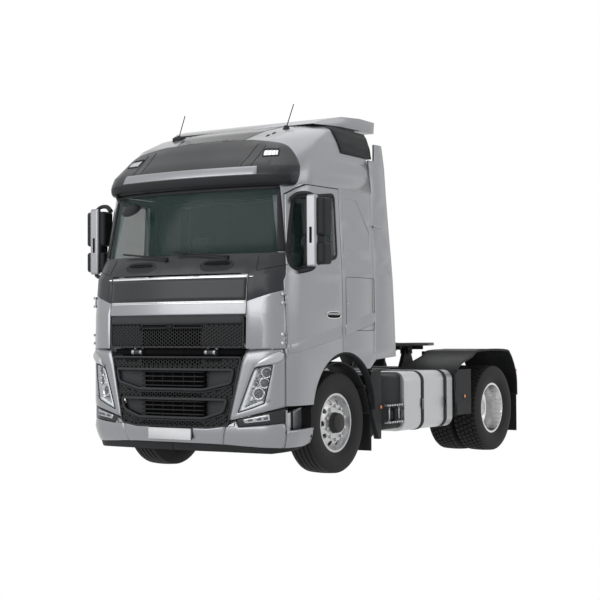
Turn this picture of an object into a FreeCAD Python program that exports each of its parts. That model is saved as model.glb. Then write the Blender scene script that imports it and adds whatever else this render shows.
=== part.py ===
import FreeCAD, Part
import math
import os

from FreeCAD import Vector

# Two-axle semi truck tractor unit with a high-roof sleeper cab.
# +Z is up, the nose points along -Y and +X is the truck's left side.
# The origin is on the ground at the middle of the overall length and width.
# Stations are lengths along Y from the front axle, positive to the rear.

# Overall sizes, in millimetres
wheelbase = 3400.0
front_overhang = 1245.0
rear_overhang = 705.0
overrun = 20.0

# Tyres and wheels
tyre_diameter = 1014.0
tyre_width = 315.0
tyre_shoulder = 46.0
rim_seat_radius = 286.0
rim_flange_radius = 299.0
rim_flange_thickness = 12.0
rim_wall = 12.0
rim_width = 245.0
front_wheel_x = 1015.0
rear_outer_wheel_x = 1088.0
twin_spacing = 345.0
hub_radius = 112.0
hub_reach = 60.0
disc_thickness = 14.0
hand_hole_radius = 27.0
hand_hole_circle = 212.0
hand_hole_count = 10
nut_radius = 16.0
nut_circle = 167.5
nut_count = 10
nut_height = 26.0

# Cab skin
cab_half_width = 1245.0
cab_corner_radius = 335.0
nose_arc_radius = 4000.0
cab_nose = -1229.0
cab_bottom = 1200.0
panel_bottom = 1262.0
lid_top = 1966.0
glass_bottom = 2180.0
roof_seam = 2850.0
roof_top = 3530.0
cab_back = 625.0
wall = 60.0
floor_thickness = 50.0
seam_gap = 8.0
glass_thickness = 6.0
glass_inset = 6.0

# Cab doors
door_front = -957.0
door_rear = -35.0
door_bottom = 716.0
door_wall = 62.0
arch_centre_y = 20.0
arch_centre_z = 615.0
arch_radius = 600.0

# Pivots
tilt_pivot_y = -1165.0
tilt_pivot_z = 1226.0
tilt_pin_radius = 20.0
pin_clearance = 0.05
kingpin_x = 920.0
kingpin_radius = 25.0

# Frame
frame_half_width = 425.0
rail_height = 266.0
rail_flange = 80.0
rail_wall = 8.0
rail_top = 966.0
rail_front = -1000.0

# Fifth wheel
coupling_station = 2900.0
coupling_top = 1285.0
kingpin_jaw_radius = 25.4


axle_front_y = -(front_overhang + wheelbase + rear_overhang) / 2 + front_overhang
axle_rear_y = axle_front_y + wheelbase
nose_y = axle_front_y - front_overhang
tail_y = axle_rear_y + rear_overhang
axle_z = tyre_diameter / 2
sides = (1, -1)


def station(s):
    """Y of a station measured from the front axle."""
    return axle_front_y + s


def block(x0, x1, y0, y1, z0, z1):
    return Part.makeBox(abs(x1 - x0), abs(y1 - y0), abs(z1 - z0),
                        Vector(min(x0, x1), min(y0, y1), min(z0, z1)))


def rod(start, end, radius):
    a, b = Vector(*start), Vector(*end)
    return Part.makeCylinder(radius, (b - a).Length, a, b - a)


def ring(start, end, outer, inner):
    return rod(start, end, outer).cut(rod(start, end, inner))


def polygon(points):
    corners = [Vector(*p) for p in points]
    return Part.Face(Part.makePolygon(corners + corners[:1]))


def side_prism(points, x0, x1):
    """Outline given as (y, z) points, between two x planes."""
    return polygon([(x0, y, z) for y, z in points]).extrude(Vector(x1 - x0, 0, 0))


def front_prism(points, y0, y1):
    """Outline given as (x, z) points, between two y planes."""
    return polygon([(x, y0, z) for x, z in points]).extrude(Vector(0, y1 - y0, 0))


def plan_prism(points, z0, z1):
    """Outline given as (x, y) points, between two z planes."""
    return polygon([(x, y, z0) for x, y in points]).extrude(Vector(0, 0, z1 - z0))


def fuse(shapes):
    result = shapes[0]
    if len(shapes) > 1:
        result = shapes[0].multiFuse(shapes[1:])
    return result.removeSplitter()


def mirrored(shape):
    return shape.mirror(Vector(0, 0, 0), Vector(1, 0, 0))


def pair(shape):
    """The piece and its mirror image on the truck's other side."""
    return Part.makeCompound([shape, mirrored(shape)])


def rounded(shape, radius, chosen):
    edges = [e for e in shape.Edges if chosen(e)]
    return shape.makeFillet(radius, edges) if edges else shape


def along(axis):
    """Chooses the straight edges that run along one axis."""
    def chosen(edge):
        if not isinstance(edge.Curve, Part.Line):
            return False
        return abs(abs(edge.tangentAt(edge.FirstParameter).dot(Vector(*axis))) - 1) < 1e-6
    return chosen


def write(name, shape):
    shape.exportStep(os.path.join("parts", name + ".step"))
    print(name, len(shape.Solids), "solids", round(shape.Volume / 1e9, 4), "m3",
          "valid" if shape.isValid() else "INVALID")


# Heights at which the skin is set, with the nose station and half width there
skin_heights = (door_bottom, panel_bottom, 1600.0, lid_top, glass_bottom, 2500.0, roof_seam)
skin_noses = (cab_nose, cab_nose, -1221.0, -1186.0, -1058.0, -995.0, -934.0)
skin_half_widths = (1243.0, cab_half_width, cab_half_width, 1240.0, 1230.0, 1212.0, 1195.0)
roof_heights = (roof_seam, 3000.0, 3140.0, 3330.0, 3450.0, roof_top)
roof_noses = (-934.0, -900.0, -820.0, -615.0, -350.0, -60.0)
roof_half_widths = (1195.0, 1175.0, 1150.0, 1100.0, 1045.0, 985.0)


def between(z, heights, values):
    for low, high, a, b in zip(heights, heights[1:], values, values[1:]):
        if z <= high:
            return a + (b - a) * (z - low) / (high - low)
    return values[-1]


def plan_wire(z, nose, half, back, inset):
    """Cab outline at height z: nose arc, two corner arcs, sides and back."""
    w, f, r = half - inset, station(nose) + inset, cab_corner_radius - inset
    big = nose_arc_radius - inset
    cx = w - r
    centre_y = f + big
    cy = centre_y - math.sqrt((big - r) ** 2 - cx ** 2)
    tx, ty = big * cx / (big - r), centre_y + big * (cy - centre_y) / (big - r)
    angle = math.atan2(ty - cy, tx - cx) / 2
    mx, my = cx + r * math.cos(angle), cy + r * math.sin(angle)
    b = station(back) - inset

    def at(x, y):
        return Vector(x, y, z)

    return Part.Wire([
        Part.LineSegment(at(-w, b), at(-w, cy)).toShape(),
        Part.Arc(at(-w, cy), at(-mx, my), at(-tx, ty)).toShape(),
        Part.Arc(at(-tx, ty), at(0, f), at(tx, ty)).toShape(),
        Part.Arc(at(tx, ty), at(mx, my), at(w, cy)).toShape(),
        Part.LineSegment(at(w, cy), at(w, b)).toShape(),
        Part.LineSegment(at(w, b), at(-w, b)).toShape(),
    ])


def skin(low, high, inset, heights=skin_heights, noses=skin_noses, halves=skin_half_widths):
    """Solid inside the cab's skin between two heights, drawn in by an inset."""
    levels = [low] + [h for h in heights if low < h < high] + [high]
    wires = [plan_wire(z, between(z, heights, noses), between(z, heights, halves), cab_back, inset)
             for z in levels]
    return Part.makeLoft(wires, True, True)


def whole_skin(inset):
    """Whole cab body below the roof seam, drawn in by an inset."""
    return skin(door_bottom, roof_seam, inset)


def sheet(inset, deeper):
    """Cab wall between two insets, over the whole height."""
    core = whole_skin(deeper)
    return whole_skin(inset).cut(core)


def slab(z0, z1):
    return block(-1500, 1500, nose_y - 300, tail_y, z0, z1)


def skin_nose(z):
    return station(between(z, skin_heights, skin_noses))


def skin_front(x, z):
    """Y of the skin's front at a point of the front view."""
    return skin_nose(z) + nose_arc_radius - math.sqrt(nose_arc_radius ** 2 - x ** 2)


def skin_half(z):
    return between(z, skin_heights, skin_half_widths)


def arch(radius, x0, x1):
    """Round of the front wheel arch, as a bar along X."""
    return rod((x0, station(arch_centre_y), arch_centre_z),
               (x1, station(arch_centre_y), arch_centre_z), radius)


def wheel_disc_holes(x0, x1):
    holes = []
    for i in range(hand_hole_count):
        angle = 2 * math.pi * i / hand_hole_count
        y, z = hand_hole_circle * math.cos(angle), hand_hole_circle * math.sin(angle)
        holes.append(rod((x0, y, z), (x1, y, z), hand_hole_radius))
    return holes


def revolved(profile):
    """Profile of (x, radius) points turned about the X axis."""
    return polygon([(x, 0, r) for x, r in profile]).revolve(Vector(0, 0, 0), Vector(1, 0, 0), 360)


def tyre():
    """Road tyre about the X axis, centred on the origin."""
    half, r = tyre_width / 2, tyre_diameter / 2
    bead, heel = rim_seat_radius, rim_flange_radius + 1.0
    seat = rim_width / 2 - rim_flange_thickness
    side_z = (bead + r) / 2
    s = tyre_shoulder
    outline = Part.Wire([
        Part.LineSegment(Vector(-seat, 0, heel), Vector(-seat, 0, bead)).toShape(),
        Part.LineSegment(Vector(-seat, 0, bead), Vector(seat, 0, bead)).toShape(),
        Part.LineSegment(Vector(seat, 0, bead), Vector(seat, 0, heel)).toShape(),
        Part.Arc(Vector(seat, 0, heel), Vector(half, 0, side_z),
                 Vector(half - s * 0.5, 0, r - s)).toShape(),
        Part.Arc(Vector(half - s * 0.5, 0, r - s), Vector(half - s * 0.75, 0, r - s * 0.3),
                 Vector(half - s * 1.2, 0, r - s * 0.05)).toShape(),
        Part.Arc(Vector(half - s * 1.2, 0, r - s * 0.05), Vector(0, 0, r),
                 Vector(-half + s * 1.2, 0, r - s * 0.05)).toShape(),
        Part.Arc(Vector(-half + s * 1.2, 0, r - s * 0.05), Vector(-half + s * 0.75, 0, r - s * 0.3),
                 Vector(-half + s * 0.5, 0, r - s)).toShape(),
        Part.Arc(Vector(-half + s * 0.5, 0, r - s), Vector(-half, 0, side_z),
                 Vector(-seat, 0, heel)).toShape(),
    ])
    return Part.Face(outline).revolve(Vector(0, 0, 0), Vector(1, 0, 0), 360)


def wheel_nuts(x0, x1):
    nuts = []
    for i in range(nut_count):
        angle = 2 * math.pi * (i + 0.5) / nut_count
        y, z = nut_circle * math.cos(angle), nut_circle * math.sin(angle)
        nuts.append(rod((x0, y, z), (x1, y, z), nut_radius))
    return nuts


def rim_barrel():
    half, f = rim_width / 2, rim_flange_thickness
    r, big, inner = rim_seat_radius, rim_flange_radius, rim_seat_radius - rim_wall
    return revolved([(-half, inner), (half, inner), (half, big), (half - f, big), (half - f, r),
                     (-half + f, r), (-half + f, big), (-half, big)])


def moved(shape, x, y, z):
    copy = shape.copy()
    copy.translate(Vector(x, y, z))
    return copy


spindle_radius = 38.0
spindle_reach = 60.0
drum_radius = 190.0
drum_wall = 25.0
drum_width = 50.0
rear_drum_width = 75.0


def front_rim():
    """Steel disc wheel with its hub, outer face towards +X, centred on the origin."""
    face = rim_width / 2 - 18.0
    t = disc_thickness
    inner = rim_seat_radius - rim_wall
    disc = revolved([(face - 70, inner), (face - 70 + t, inner), (face, hand_hole_circle - 20),
                     (face, hub_radius - 4), (face - t, hub_radius - 4), (face - t, hand_hole_circle - 24)])
    disc = disc.multiFuse([rod((face - t, 0, 0), (face, 0, 0), hub_radius)])
    disc = disc.cut(Part.makeCompound(wheel_disc_holes(-rim_width, rim_width)))
    hub = rod((0, 0, 0), (face + hub_reach, 0, 0), hub_radius - 22)
    drum = fuse([ring((-drum_width, 0, 0), (t, 0, 0), drum_radius, drum_radius - drum_wall),
                 rod((0, 0, 0), (t, 0, 0), drum_radius)])
    bore = rod((-rim_width, 0, 0), (spindle_reach, 0, 0), spindle_radius + pin_clearance)
    return fuse([rim_barrel(), disc, hub, drum] + wheel_nuts(face - t, face + nut_height)).cut(bore)


def rear_rim():
    """Twin wheels with their hub, outer face towards +X, outer wheel centred on the origin."""
    t = disc_thickness
    inner = rim_seat_radius - rim_wall
    face = -twin_spacing / 2
    outer_disc = revolved([(face, 0), (face + t, 0), (face + t, hand_hole_circle),
                           (face + 70 + t, inner), (face + 70, inner), (face, hand_hole_circle + 6)])
    inner_disc = revolved([(face - t, 0), (face, 0), (face, hand_hole_circle + 6),
                           (face - 70, inner), (face - 70 - t, inner), (face - t, hand_hole_circle)])
    discs = fuse([outer_disc, inner_disc])
    discs = discs.cut(Part.makeCompound(wheel_disc_holes(-tyre_diameter, rim_width)))
    hub = rod((-twin_spacing - rear_drum_width, 0, 0), (face + 150, 0, 0), hub_radius)
    drum = rod((-twin_spacing - rear_drum_width, 0, 0), (face - 40, 0, 0), drum_radius)
    bore = rod((-tyre_diameter, 0, 0), (face + 60, 0, 0), spindle_radius + pin_clearance)
    inner_barrel = moved(rim_barrel(), -twin_spacing, 0, 0)
    nuts = wheel_nuts(face, face + t + nut_height)
    return fuse([rim_barrel(), inner_barrel, discs, hub, drum] + nuts).cut(bore)


def write_wheels():
    tread, front, rear = tyre(), front_rim(), rear_rim()
    for side, word in zip(sides, ("left", "right")):
        def place(shape, x, y):
            turned = shape if side > 0 else mirrored(shape)
            return moved(turned, side * x, y, axle_z)
        write("front_tyre_" + word, place(tread, front_wheel_x, axle_front_y))
        write("front_rim_" + word, place(front, front_wheel_x, axle_front_y))
        twin = Part.makeCompound([place(tread, rear_outer_wheel_x, axle_rear_y),
                                  place(tread, rear_outer_wheel_x - twin_spacing, axle_rear_y)])
        write("rear_tyres_" + word, twin)
        write("rear_rims_" + word, place(rear, rear_outer_wheel_x, axle_rear_y))


rail_bottom = rail_top - rail_height
cross_member_stations = (-960.0, 1330.0, 2500.0, 3500.0)
cross_member_depth = 60.0
cross_member_lift = 110.0


def rail():
    """Left frame rail, a channel open towards the middle."""
    y0, y1 = station(rail_front), tail_y - 60.0
    outer = frame_half_width
    web = block(outer - rail_wall, outer, y0, y1, rail_bottom, rail_top)
    top = block(outer - rail_flange, outer, y0, y1, rail_top - rail_wall, rail_top)
    low = block(outer - rail_flange, outer, y0, y1, rail_bottom, rail_bottom + rail_wall)
    return fuse([web, top, low])


def write_frame():
    left = rail()
    write("frame_rails", pair(left))
    inner = frame_half_width - rail_wall
    z0, z1 = rail_bottom + rail_wall, rail_top - rail_wall
    members = []
    for s in cross_member_stations:
        members.append(block(-inner, inner, station(s), station(s) + cross_member_depth,
                             z0 + cross_member_lift, z1 - 40))
    members.append(block(-frame_half_width, frame_half_width, tail_y - 60, tail_y - 40,
                         rail_bottom + 10, rail_top - 10))
    write("cross_members", Part.makeCompound(members))


beam_half = 50.0
beam_drop = 90.0
eye_height = 120.0
ear_gap = 1.0
ear_height = 36.0


def write_front_axle():
    y, z = axle_front_y, axle_z
    seat = frame_half_width + 90.0
    top, low = z + 10, z - 90
    outline = [(-kingpin_x, z + 45), (-seat - 90, z + 35), (-seat, low + 100), (seat, low + 100),
               (seat + 90, z + 35), (kingpin_x, z + 45), (kingpin_x, z - 45), (seat + 120, z - 50),
               (seat + 20, low), (-seat - 20, low), (-seat - 120, z - 50), (-kingpin_x, z - 45)]
    beam = front_prism(outline, y - beam_half, y + beam_half)
    pieces = [beam]
    for side in sides:
        x = side * kingpin_x
        pieces.append(rod((x, y, z - eye_height / 2), (x, y, z + eye_height / 2), 55.0))
        reach = eye_height / 2 + ear_gap + ear_height
        pieces.append(rod((x, y, z - reach), (x, y, z + reach), kingpin_radius))
    write("front_axle_beam", fuse(pieces))


arm_length = 180.0
arm_z_drop = 78.0
tie_pin_radius = 12.0
tie_rod_radius = 18.0


def knuckle():
    """Left steering knuckle: two ears on the kingpin, a spindle and an arm."""
    x, y, z = kingpin_x, axle_front_y, axle_z
    near, far = eye_height / 2 + ear_gap, eye_height / 2 + ear_gap + ear_height
    web_x0, web_x1 = x + 60, x + 88
    pieces = [block(web_x0, web_x1, y - 60, y + 60, z - far, z + far)]
    for sign in sides:
        low, high = sorted((z + sign * near, z + sign * far))
        pieces.append(rod((x, y, low), (x, y, high), 52.0))
        pieces.append(block(x, web_x1, y - 45, y + 45, low, high))
    pieces.append(rod((web_x0, y, z), (front_wheel_x + spindle_reach - 4, y, z), spindle_radius))
    arm_z = z - arm_z_drop
    pieces.append(block(x - 22, x + 22, y, y + arm_length, z - far, z - near))
    pieces.append(rod((x, y + arm_length, z - far), (x, y + arm_length, z - near), 30.0))
    pin_low = z - far - 60
    pieces.append(rod((x, y + arm_length, pin_low), (x, y + arm_length, z - near), tie_pin_radius))
    bore = rod((x, y, z - far - overrun), (x, y, z + far + overrun), kingpin_radius + pin_clearance)
    return fuse(pieces).cut(bore), pin_low, z - far


def write_knuckles():
    left, pin_low, arm_low = knuckle()
    write("knuckle_left", left)
    write("knuckle_right", mirrored(left))
    x, y = kingpin_x, axle_front_y + arm_length
    z0, z1 = pin_low + 6, arm_low - 6
    middle = (z0 + z1) / 2
    pieces = [rod((-x, y, middle), (x, y, middle), tie_rod_radius)]
    for side in sides:
        pieces.append(rod((side * x, y, z0), (side * x, y, z1), 30.0))
    bores = [rod((side * x, y, z0 - overrun), (side * x, y, z1 + overrun), tie_pin_radius + pin_clearance)
             for side in sides]
    write("tie_rod", fuse(pieces).cut(Part.makeCompound(bores)))


spring_width = 80.0
spring_x = 455.0


spring_gap = 5.0
gearbox_end = 1000.0
shaft_front = gearbox_end + spring_gap + 4.0


def write_front_springs():
    """Leaf springs on the beam with their hangers on the frame."""
    y, z = axle_front_y, axle_z
    top = z + 10
    half = 780.0
    rise = 140.0
    t = 34.0
    upper = Part.Arc(Vector(0, y - half, top + rise + t), Vector(0, y, top + t),
                     Vector(0, y + half, top + rise + t)).toShape()
    lower = Part.Arc(Vector(0, y + half, top + rise), Vector(0, y, top),
                     Vector(0, y - half, top + rise)).toShape()
    ends = [Part.LineSegment(Vector(0, y + half, top + rise + t), Vector(0, y + half, top + rise)).toShape(),
            Part.LineSegment(Vector(0, y - half, top + rise), Vector(0, y - half, top + rise + t)).toShape()]
    x0 = frame_half_width - 10
    leaf = Part.Face(Part.Wire([upper, ends[0], lower, ends[1]])).extrude(Vector(spring_width, 0, 0))
    leaf.translate(Vector(x0, 0, 0))
    pieces = [leaf]
    for s in (-half + 30, half - 30):
        hanger = block(frame_half_width, frame_half_width + 26, y + s - 45, y + s + 45,
                       top + rise - 20, rail_top - 40)
        pieces.append(hanger)
    pad = block(x0, x0 + spring_width, y - 70, y + 70, axle_z - 90 + 100, top + 4)
    pieces.append(pad)
    write("front_springs", pair(fuse(pieces)))


axle_tube_radius = 72.0
banjo_radius = 205.0
# Axle housing profile as (x, radius), from the middle outwards
banjo_profile = ((0.0, banjo_radius), (60.0, banjo_radius), (130.0, 175.0), (250.0, axle_tube_radius))
pinion_reach = 330.0
pinion_lift = 60.0
pinion_radius = 90.0
shaft_radius = 50.0


def write_rear_axle():
    y, z = axle_rear_y, axle_z
    tube_end = rear_outer_wheel_x - twin_spacing - rear_drum_width - spring_gap
    stub_end = rear_outer_wheel_x - twin_spacing / 2 + spindle_reach - spring_gap
    half = list(banjo_profile) + [(tube_end, axle_tube_radius), (tube_end, spindle_radius),
                                  (stub_end, spindle_radius), (stub_end, 0.0)]
    housing = revolved(half + [(-x, r) for x, r in reversed(half)])
    housing.translate(Vector(0, y, z))
    nose = rod((0, y, z + pinion_lift / 3), (0, y - pinion_reach, z + pinion_lift), pinion_radius)
    shaft = rod((0, y - pinion_reach + overrun, z + pinion_lift),
                (0, station(shaft_front), rail_bottom + pinion_radius), shaft_radius)
    write("rear_axle", fuse([housing, nose, shaft]))


def write_rear_suspension():
    y, z = axle_rear_y, axle_z
    x = frame_half_width - 55
    pieces = []
    for s in (-430.0, 430.0):
        bag_low, bag_high = z - 20, rail_bottom - 6
        cx, cy = x, y + s
        bag = rod((cx, cy, bag_low), (cx, cy, bag_high), 105.0)
        plate = rod((cx, cy, bag_high), (cx, cy, rail_bottom), 90.0)
        pieces += [bag, plate]
    carrier = block(x - 45, x + 45, y - 530, y + 530, z - 110, z - 20)
    seat = block(x - 45, x + 45, y - 80, y + 80, z - 20, z - 60 + 1)
    shock = rod((x + 30, y + 160, z - 40), (x + 30, y + 160, rail_bottom), 30.0)
    clearance = rod((0, y, z), (frame_half_width * 2, y, z), 72.0)
    body = fuse(pieces + [carrier, seat, shock]).cut(clearance)
    write("rear_suspension", pair(body))


def write_engine():
    y0, y1 = station(-830.0), station(520.0)
    half = frame_half_width - rail_flange - engine_room
    engine = block(-half, half, y0, y1, 560.0, 1130.0)
    gearbox = block(-210, 210, y1 - 10, station(gearbox_end), 560.0, 940.0)
    body = rounded(fuse([engine, gearbox]), 30.0, along((0, 1, 0)))
    feet = []
    for side in sides:
        for s in engine_foot_stations:
            feet.append(block(side * (half - overrun), side * (frame_half_width - rail_wall), station(s),
                              station(s) + engine_foot, rail_bottom + engine_foot, rail_bottom + 2 * engine_foot))
    write("engine_block", fuse([body] + feet))


engine_room = 15.0
engine_foot = 80.0
engine_foot_stations = (-550.0, 300.0)
bracket_width = 60.0
tilt_pivot_x = frame_half_width + bracket_width / 2


def write_cab_mounts():
    """Front pivot brackets and rear supports that carry the cab."""
    py, pz = station(tilt_pivot_y), tilt_pivot_z
    pieces = []
    for side in sides:
        x = side * tilt_pivot_x
        inner = side * (tilt_pivot_x - bracket_width / 2)
        outer = side * (tilt_pivot_x + bracket_width / 2)
        arm = side_prism([(py, pz + 26), (py + 60, pz + 10), (station(-900.0), rail_top - 30),
                          (station(-900.0), rail_bottom + 30), (station(-990.0), rail_bottom + 30),
                          (station(-1090.0), 1080), (py + 20, pz - 26)], inner, outer)
        eye = rod((inner, py, pz), (outer, py, pz), 30.0)
        bore = rod((inner - side * overrun, py, pz), (outer + side * overrun, py, pz),
                   tilt_pin_radius + pin_clearance)
        foot = block(side * (frame_half_width), outer, station(-1000.0), station(-900.0),
                     rail_bottom + 30, rail_top - 30)
        pieces.append(fuse([arm, eye, foot]).cut(bore))
    rest_y0, rest_y1 = station(560.0), station(640.0)
    x0, x1 = frame_half_width, frame_half_width + 50
    for side in sides:
        tower = block(side * x0, side * x1, rest_y0, rest_y1, rail_bottom + 60, cab_bottom - 30)
        pad = block(side * (x0 - 60), side * (x1 + 30), rest_y0 - 10, rest_y1 + 10,
                    cab_bottom - 30, cab_bottom - 6)
        pieces.append(fuse([tower, pad]))
    write("cab_mounts", Part.makeCompound(pieces))


bumper_top = 590.0
bumper_bottom = 345.0
lip_bottom = 270.0
step_top = 700.0
bumper_wall = 30.0
front_rear_limit = -640.0


def lower_skin(low, high, inset):
    return Part.makeLoft([plan_wire(z, cab_nose, 1240.0, cab_back, inset) for z in (low, high)], True, True)


lower_grille_top = 1184.0


def grille_outline(gap):
    """Front view of the lower grille, drawn out by a gap, as (x, z) points."""
    low, waist, top = 645 + gap, 700 + gap, 792 + gap
    return [(-low, 506 - gap), (low, 506 - gap), (waist, 640), (top, lower_grille_top + gap),
            (-top, lower_grille_top + gap), (-waist, 640)]


def write_lower_front():
    """Bumper, lower grille, lamp clusters, entry steps and the blank plate."""
    behind = station(front_rear_limit)
    keep_front = block(-2000, 2000, nose_y - 200, behind, 0, 2000)
    # The bumper shell wraps round to the front wheel
    shell = lower_skin(bumper_bottom, bumper_top, 0).cut(lower_skin(bumper_bottom - overrun,
                                                                      bumper_top + overrun, bumper_wall))
    shell = shell.common(keep_front)
    lip = lower_skin(lip_bottom, bumper_bottom + 30, 20).cut(
        lower_skin(lip_bottom - overrun, bumper_bottom + 30 + overrun, 50))
    lip = lip.common(keep_front)
    stays = []
    for side in sides:
        stays.append(block(side * 330, side * 400, station(-1190.0), station(-990.0), 400, 496))
        stays.append(block(side * 345, side * 425, station(-1010.0), station(-940.0), 400, rail_bottom))
    opening = front_prism(grille_outline(6.0), nose_y - 200, station(-1000.0))
    bumper = fuse([shell.cut(opening), lip] + stays)
    write("bumper", bumper)
    # Lower grille between the lamp clusters, up to the gap under the lid
    slab = lower_skin(506, lower_grille_top, 4).cut(lower_skin(506 - overrun, lower_grille_top + overrun, 44))
    grille = slab.common(front_prism(grille_outline(0.0), nose_y - 200, station(-900.0)))
    tabs = [block(side * 300, side * 380, skin_nose(panel_bottom) + 42, station(-960.0), 760, 860)
            for side in sides]
    write("lower_grille", fuse([grille] + tabs))
    # Lamp clusters fill the corners up to the door seam
    cluster_top = 1238.0
    door_edge = station(door_front) - seam_gap
    zone = front_prism([(660, bumper_top), (1300, bumper_top), (1300, cluster_top), (800, cluster_top)],
                       nose_y - 200, door_edge)
    zone = zone.cut(front_prism(grille_outline(4.0), nose_y - 300, door_edge + 100))
    cluster = lower_skin(bumper_top, cluster_top, 0).cut(
        lower_skin(bumper_top - overrun, cluster_top + overrun, 60)).common(zone)
    write("headlamps", pair(cluster))
    # Steps behind the bumper corner
    step = block(900, 1236, door_edge + 10, station(-640.0), bumper_bottom + 36, step_top - 10)
    low_part = step.common(lower_skin(300, bumper_top, bumper_wall))
    high_part = step.common(lower_skin(bumper_top, 800, 2))
    well = block(1040, 1300, station(-900.0), station(-700.0), 480, step_top + 10)
    hanger = block(frame_half_width, 1000, station(-900.0), station(-860.0), 660, 740)
    write("entry_steps", pair(fuse([low_part, high_part, hanger]).cut(well)))
    plate = block(-260, 260, nose_y, station(-1205.0), 380, 490)
    write("number_plate", plate.cut(lower_skin(300, 600, 0)))


def windscreen_outline():
    """Windscreen opening in front view, as (x, z) points."""
    low, high = glass_bottom, roof_seam - header_height
    return [(-glass_low_half, low), (glass_low_half, low), (glass_high_half, high), (-glass_high_half, high)]


glass_low_half = 1062.0
glass_high_half = 1012.0
header_height = 26.0
cowl_corner_low = 1712.0
cowl_side_low = 1845.0
lid_half_width = 838.0
bulkhead_y = -1050.0
bulkhead_thickness = 40.0
pillar_top_y = -783.0
pillar_foot_z = 1900.0
pillar_waist_y = -851.0
pillar_waist_z = 2200.0
skirt_bottom = 1040.0
skirt_rear_bottom = 1130.0
hinge_zone = (1300.0, 1680.0)
hinge_height = 110.0
hinge_x = 1187.0
hinge_y = -962.0
hinge_radius = 8.0
hinge_pin_radius = 4.5
hinge_room = 13.0
lid_hinge_x = 280.0
lid_hinge_depth = 20.0
lid_hinge_drop = 12.0
lid_pin_radius = 5.0
lid_ear_radius = 10.0
lid_ear_half = 12.0
lid_thickness = 40.0
lid_swing_gap = 16.0
floor_corner_half = 900.0
grille_top = 1590.0


def door_opening(gap):
    """Side view of the door, drawn out by the seam gap."""
    y0, y1 = station(door_front) - gap, station(door_rear) + gap
    top = roof_seam - seam_gap + 2 * gap
    return [(y0, door_bottom - gap), (y0, pillar_foot_z), (station(pillar_waist_y) - gap, pillar_waist_z),
            (station(pillar_top_y) - gap, 2745.0 + gap), (station(-705.0) - gap, 2800.0 + gap),
            (station(-600.0), top), (y1, top), (y1, door_bottom - gap)]


def cowl_zone():
    """Front view of the black cowl, which drops at both corners beside the lid."""
    x = lid_half_width + seam_gap
    wide = cab_half_width + overrun
    return [(-wide, glass_bottom), (-wide, cowl_side_low), (-x, cowl_corner_low),
            (-x, lid_top + lid_swing_gap), (x, lid_top + lid_swing_gap), (x, cowl_corner_low),
            (wide, cowl_side_low), (wide, glass_bottom)]


def hinge_cylinders(radius, low_share, high_share):
    """Upright cylinders at both door hinges, over a share of each hinge's height."""
    return [rod((hinge_x, station(hinge_y), z + hinge_height * low_share),
                (hinge_x, station(hinge_y), z + hinge_height * high_share), radius) for z in hinge_zone]


def lid_axis():
    return skin_nose(lid_top) + lid_hinge_depth, lid_top - lid_hinge_drop


def cowl_bar():
    """Block in front of the doors that holds the cowl and nothing else of the wall."""
    zone = front_prism(cowl_zone(), nose_y - 200, station(-700.0))
    return zone.common(slab(cowl_corner_low, glass_bottom))


def door_holes():
    opening = side_prism(door_opening(seam_gap), 700, 1500)
    return [opening, mirrored(opening)]


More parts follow.
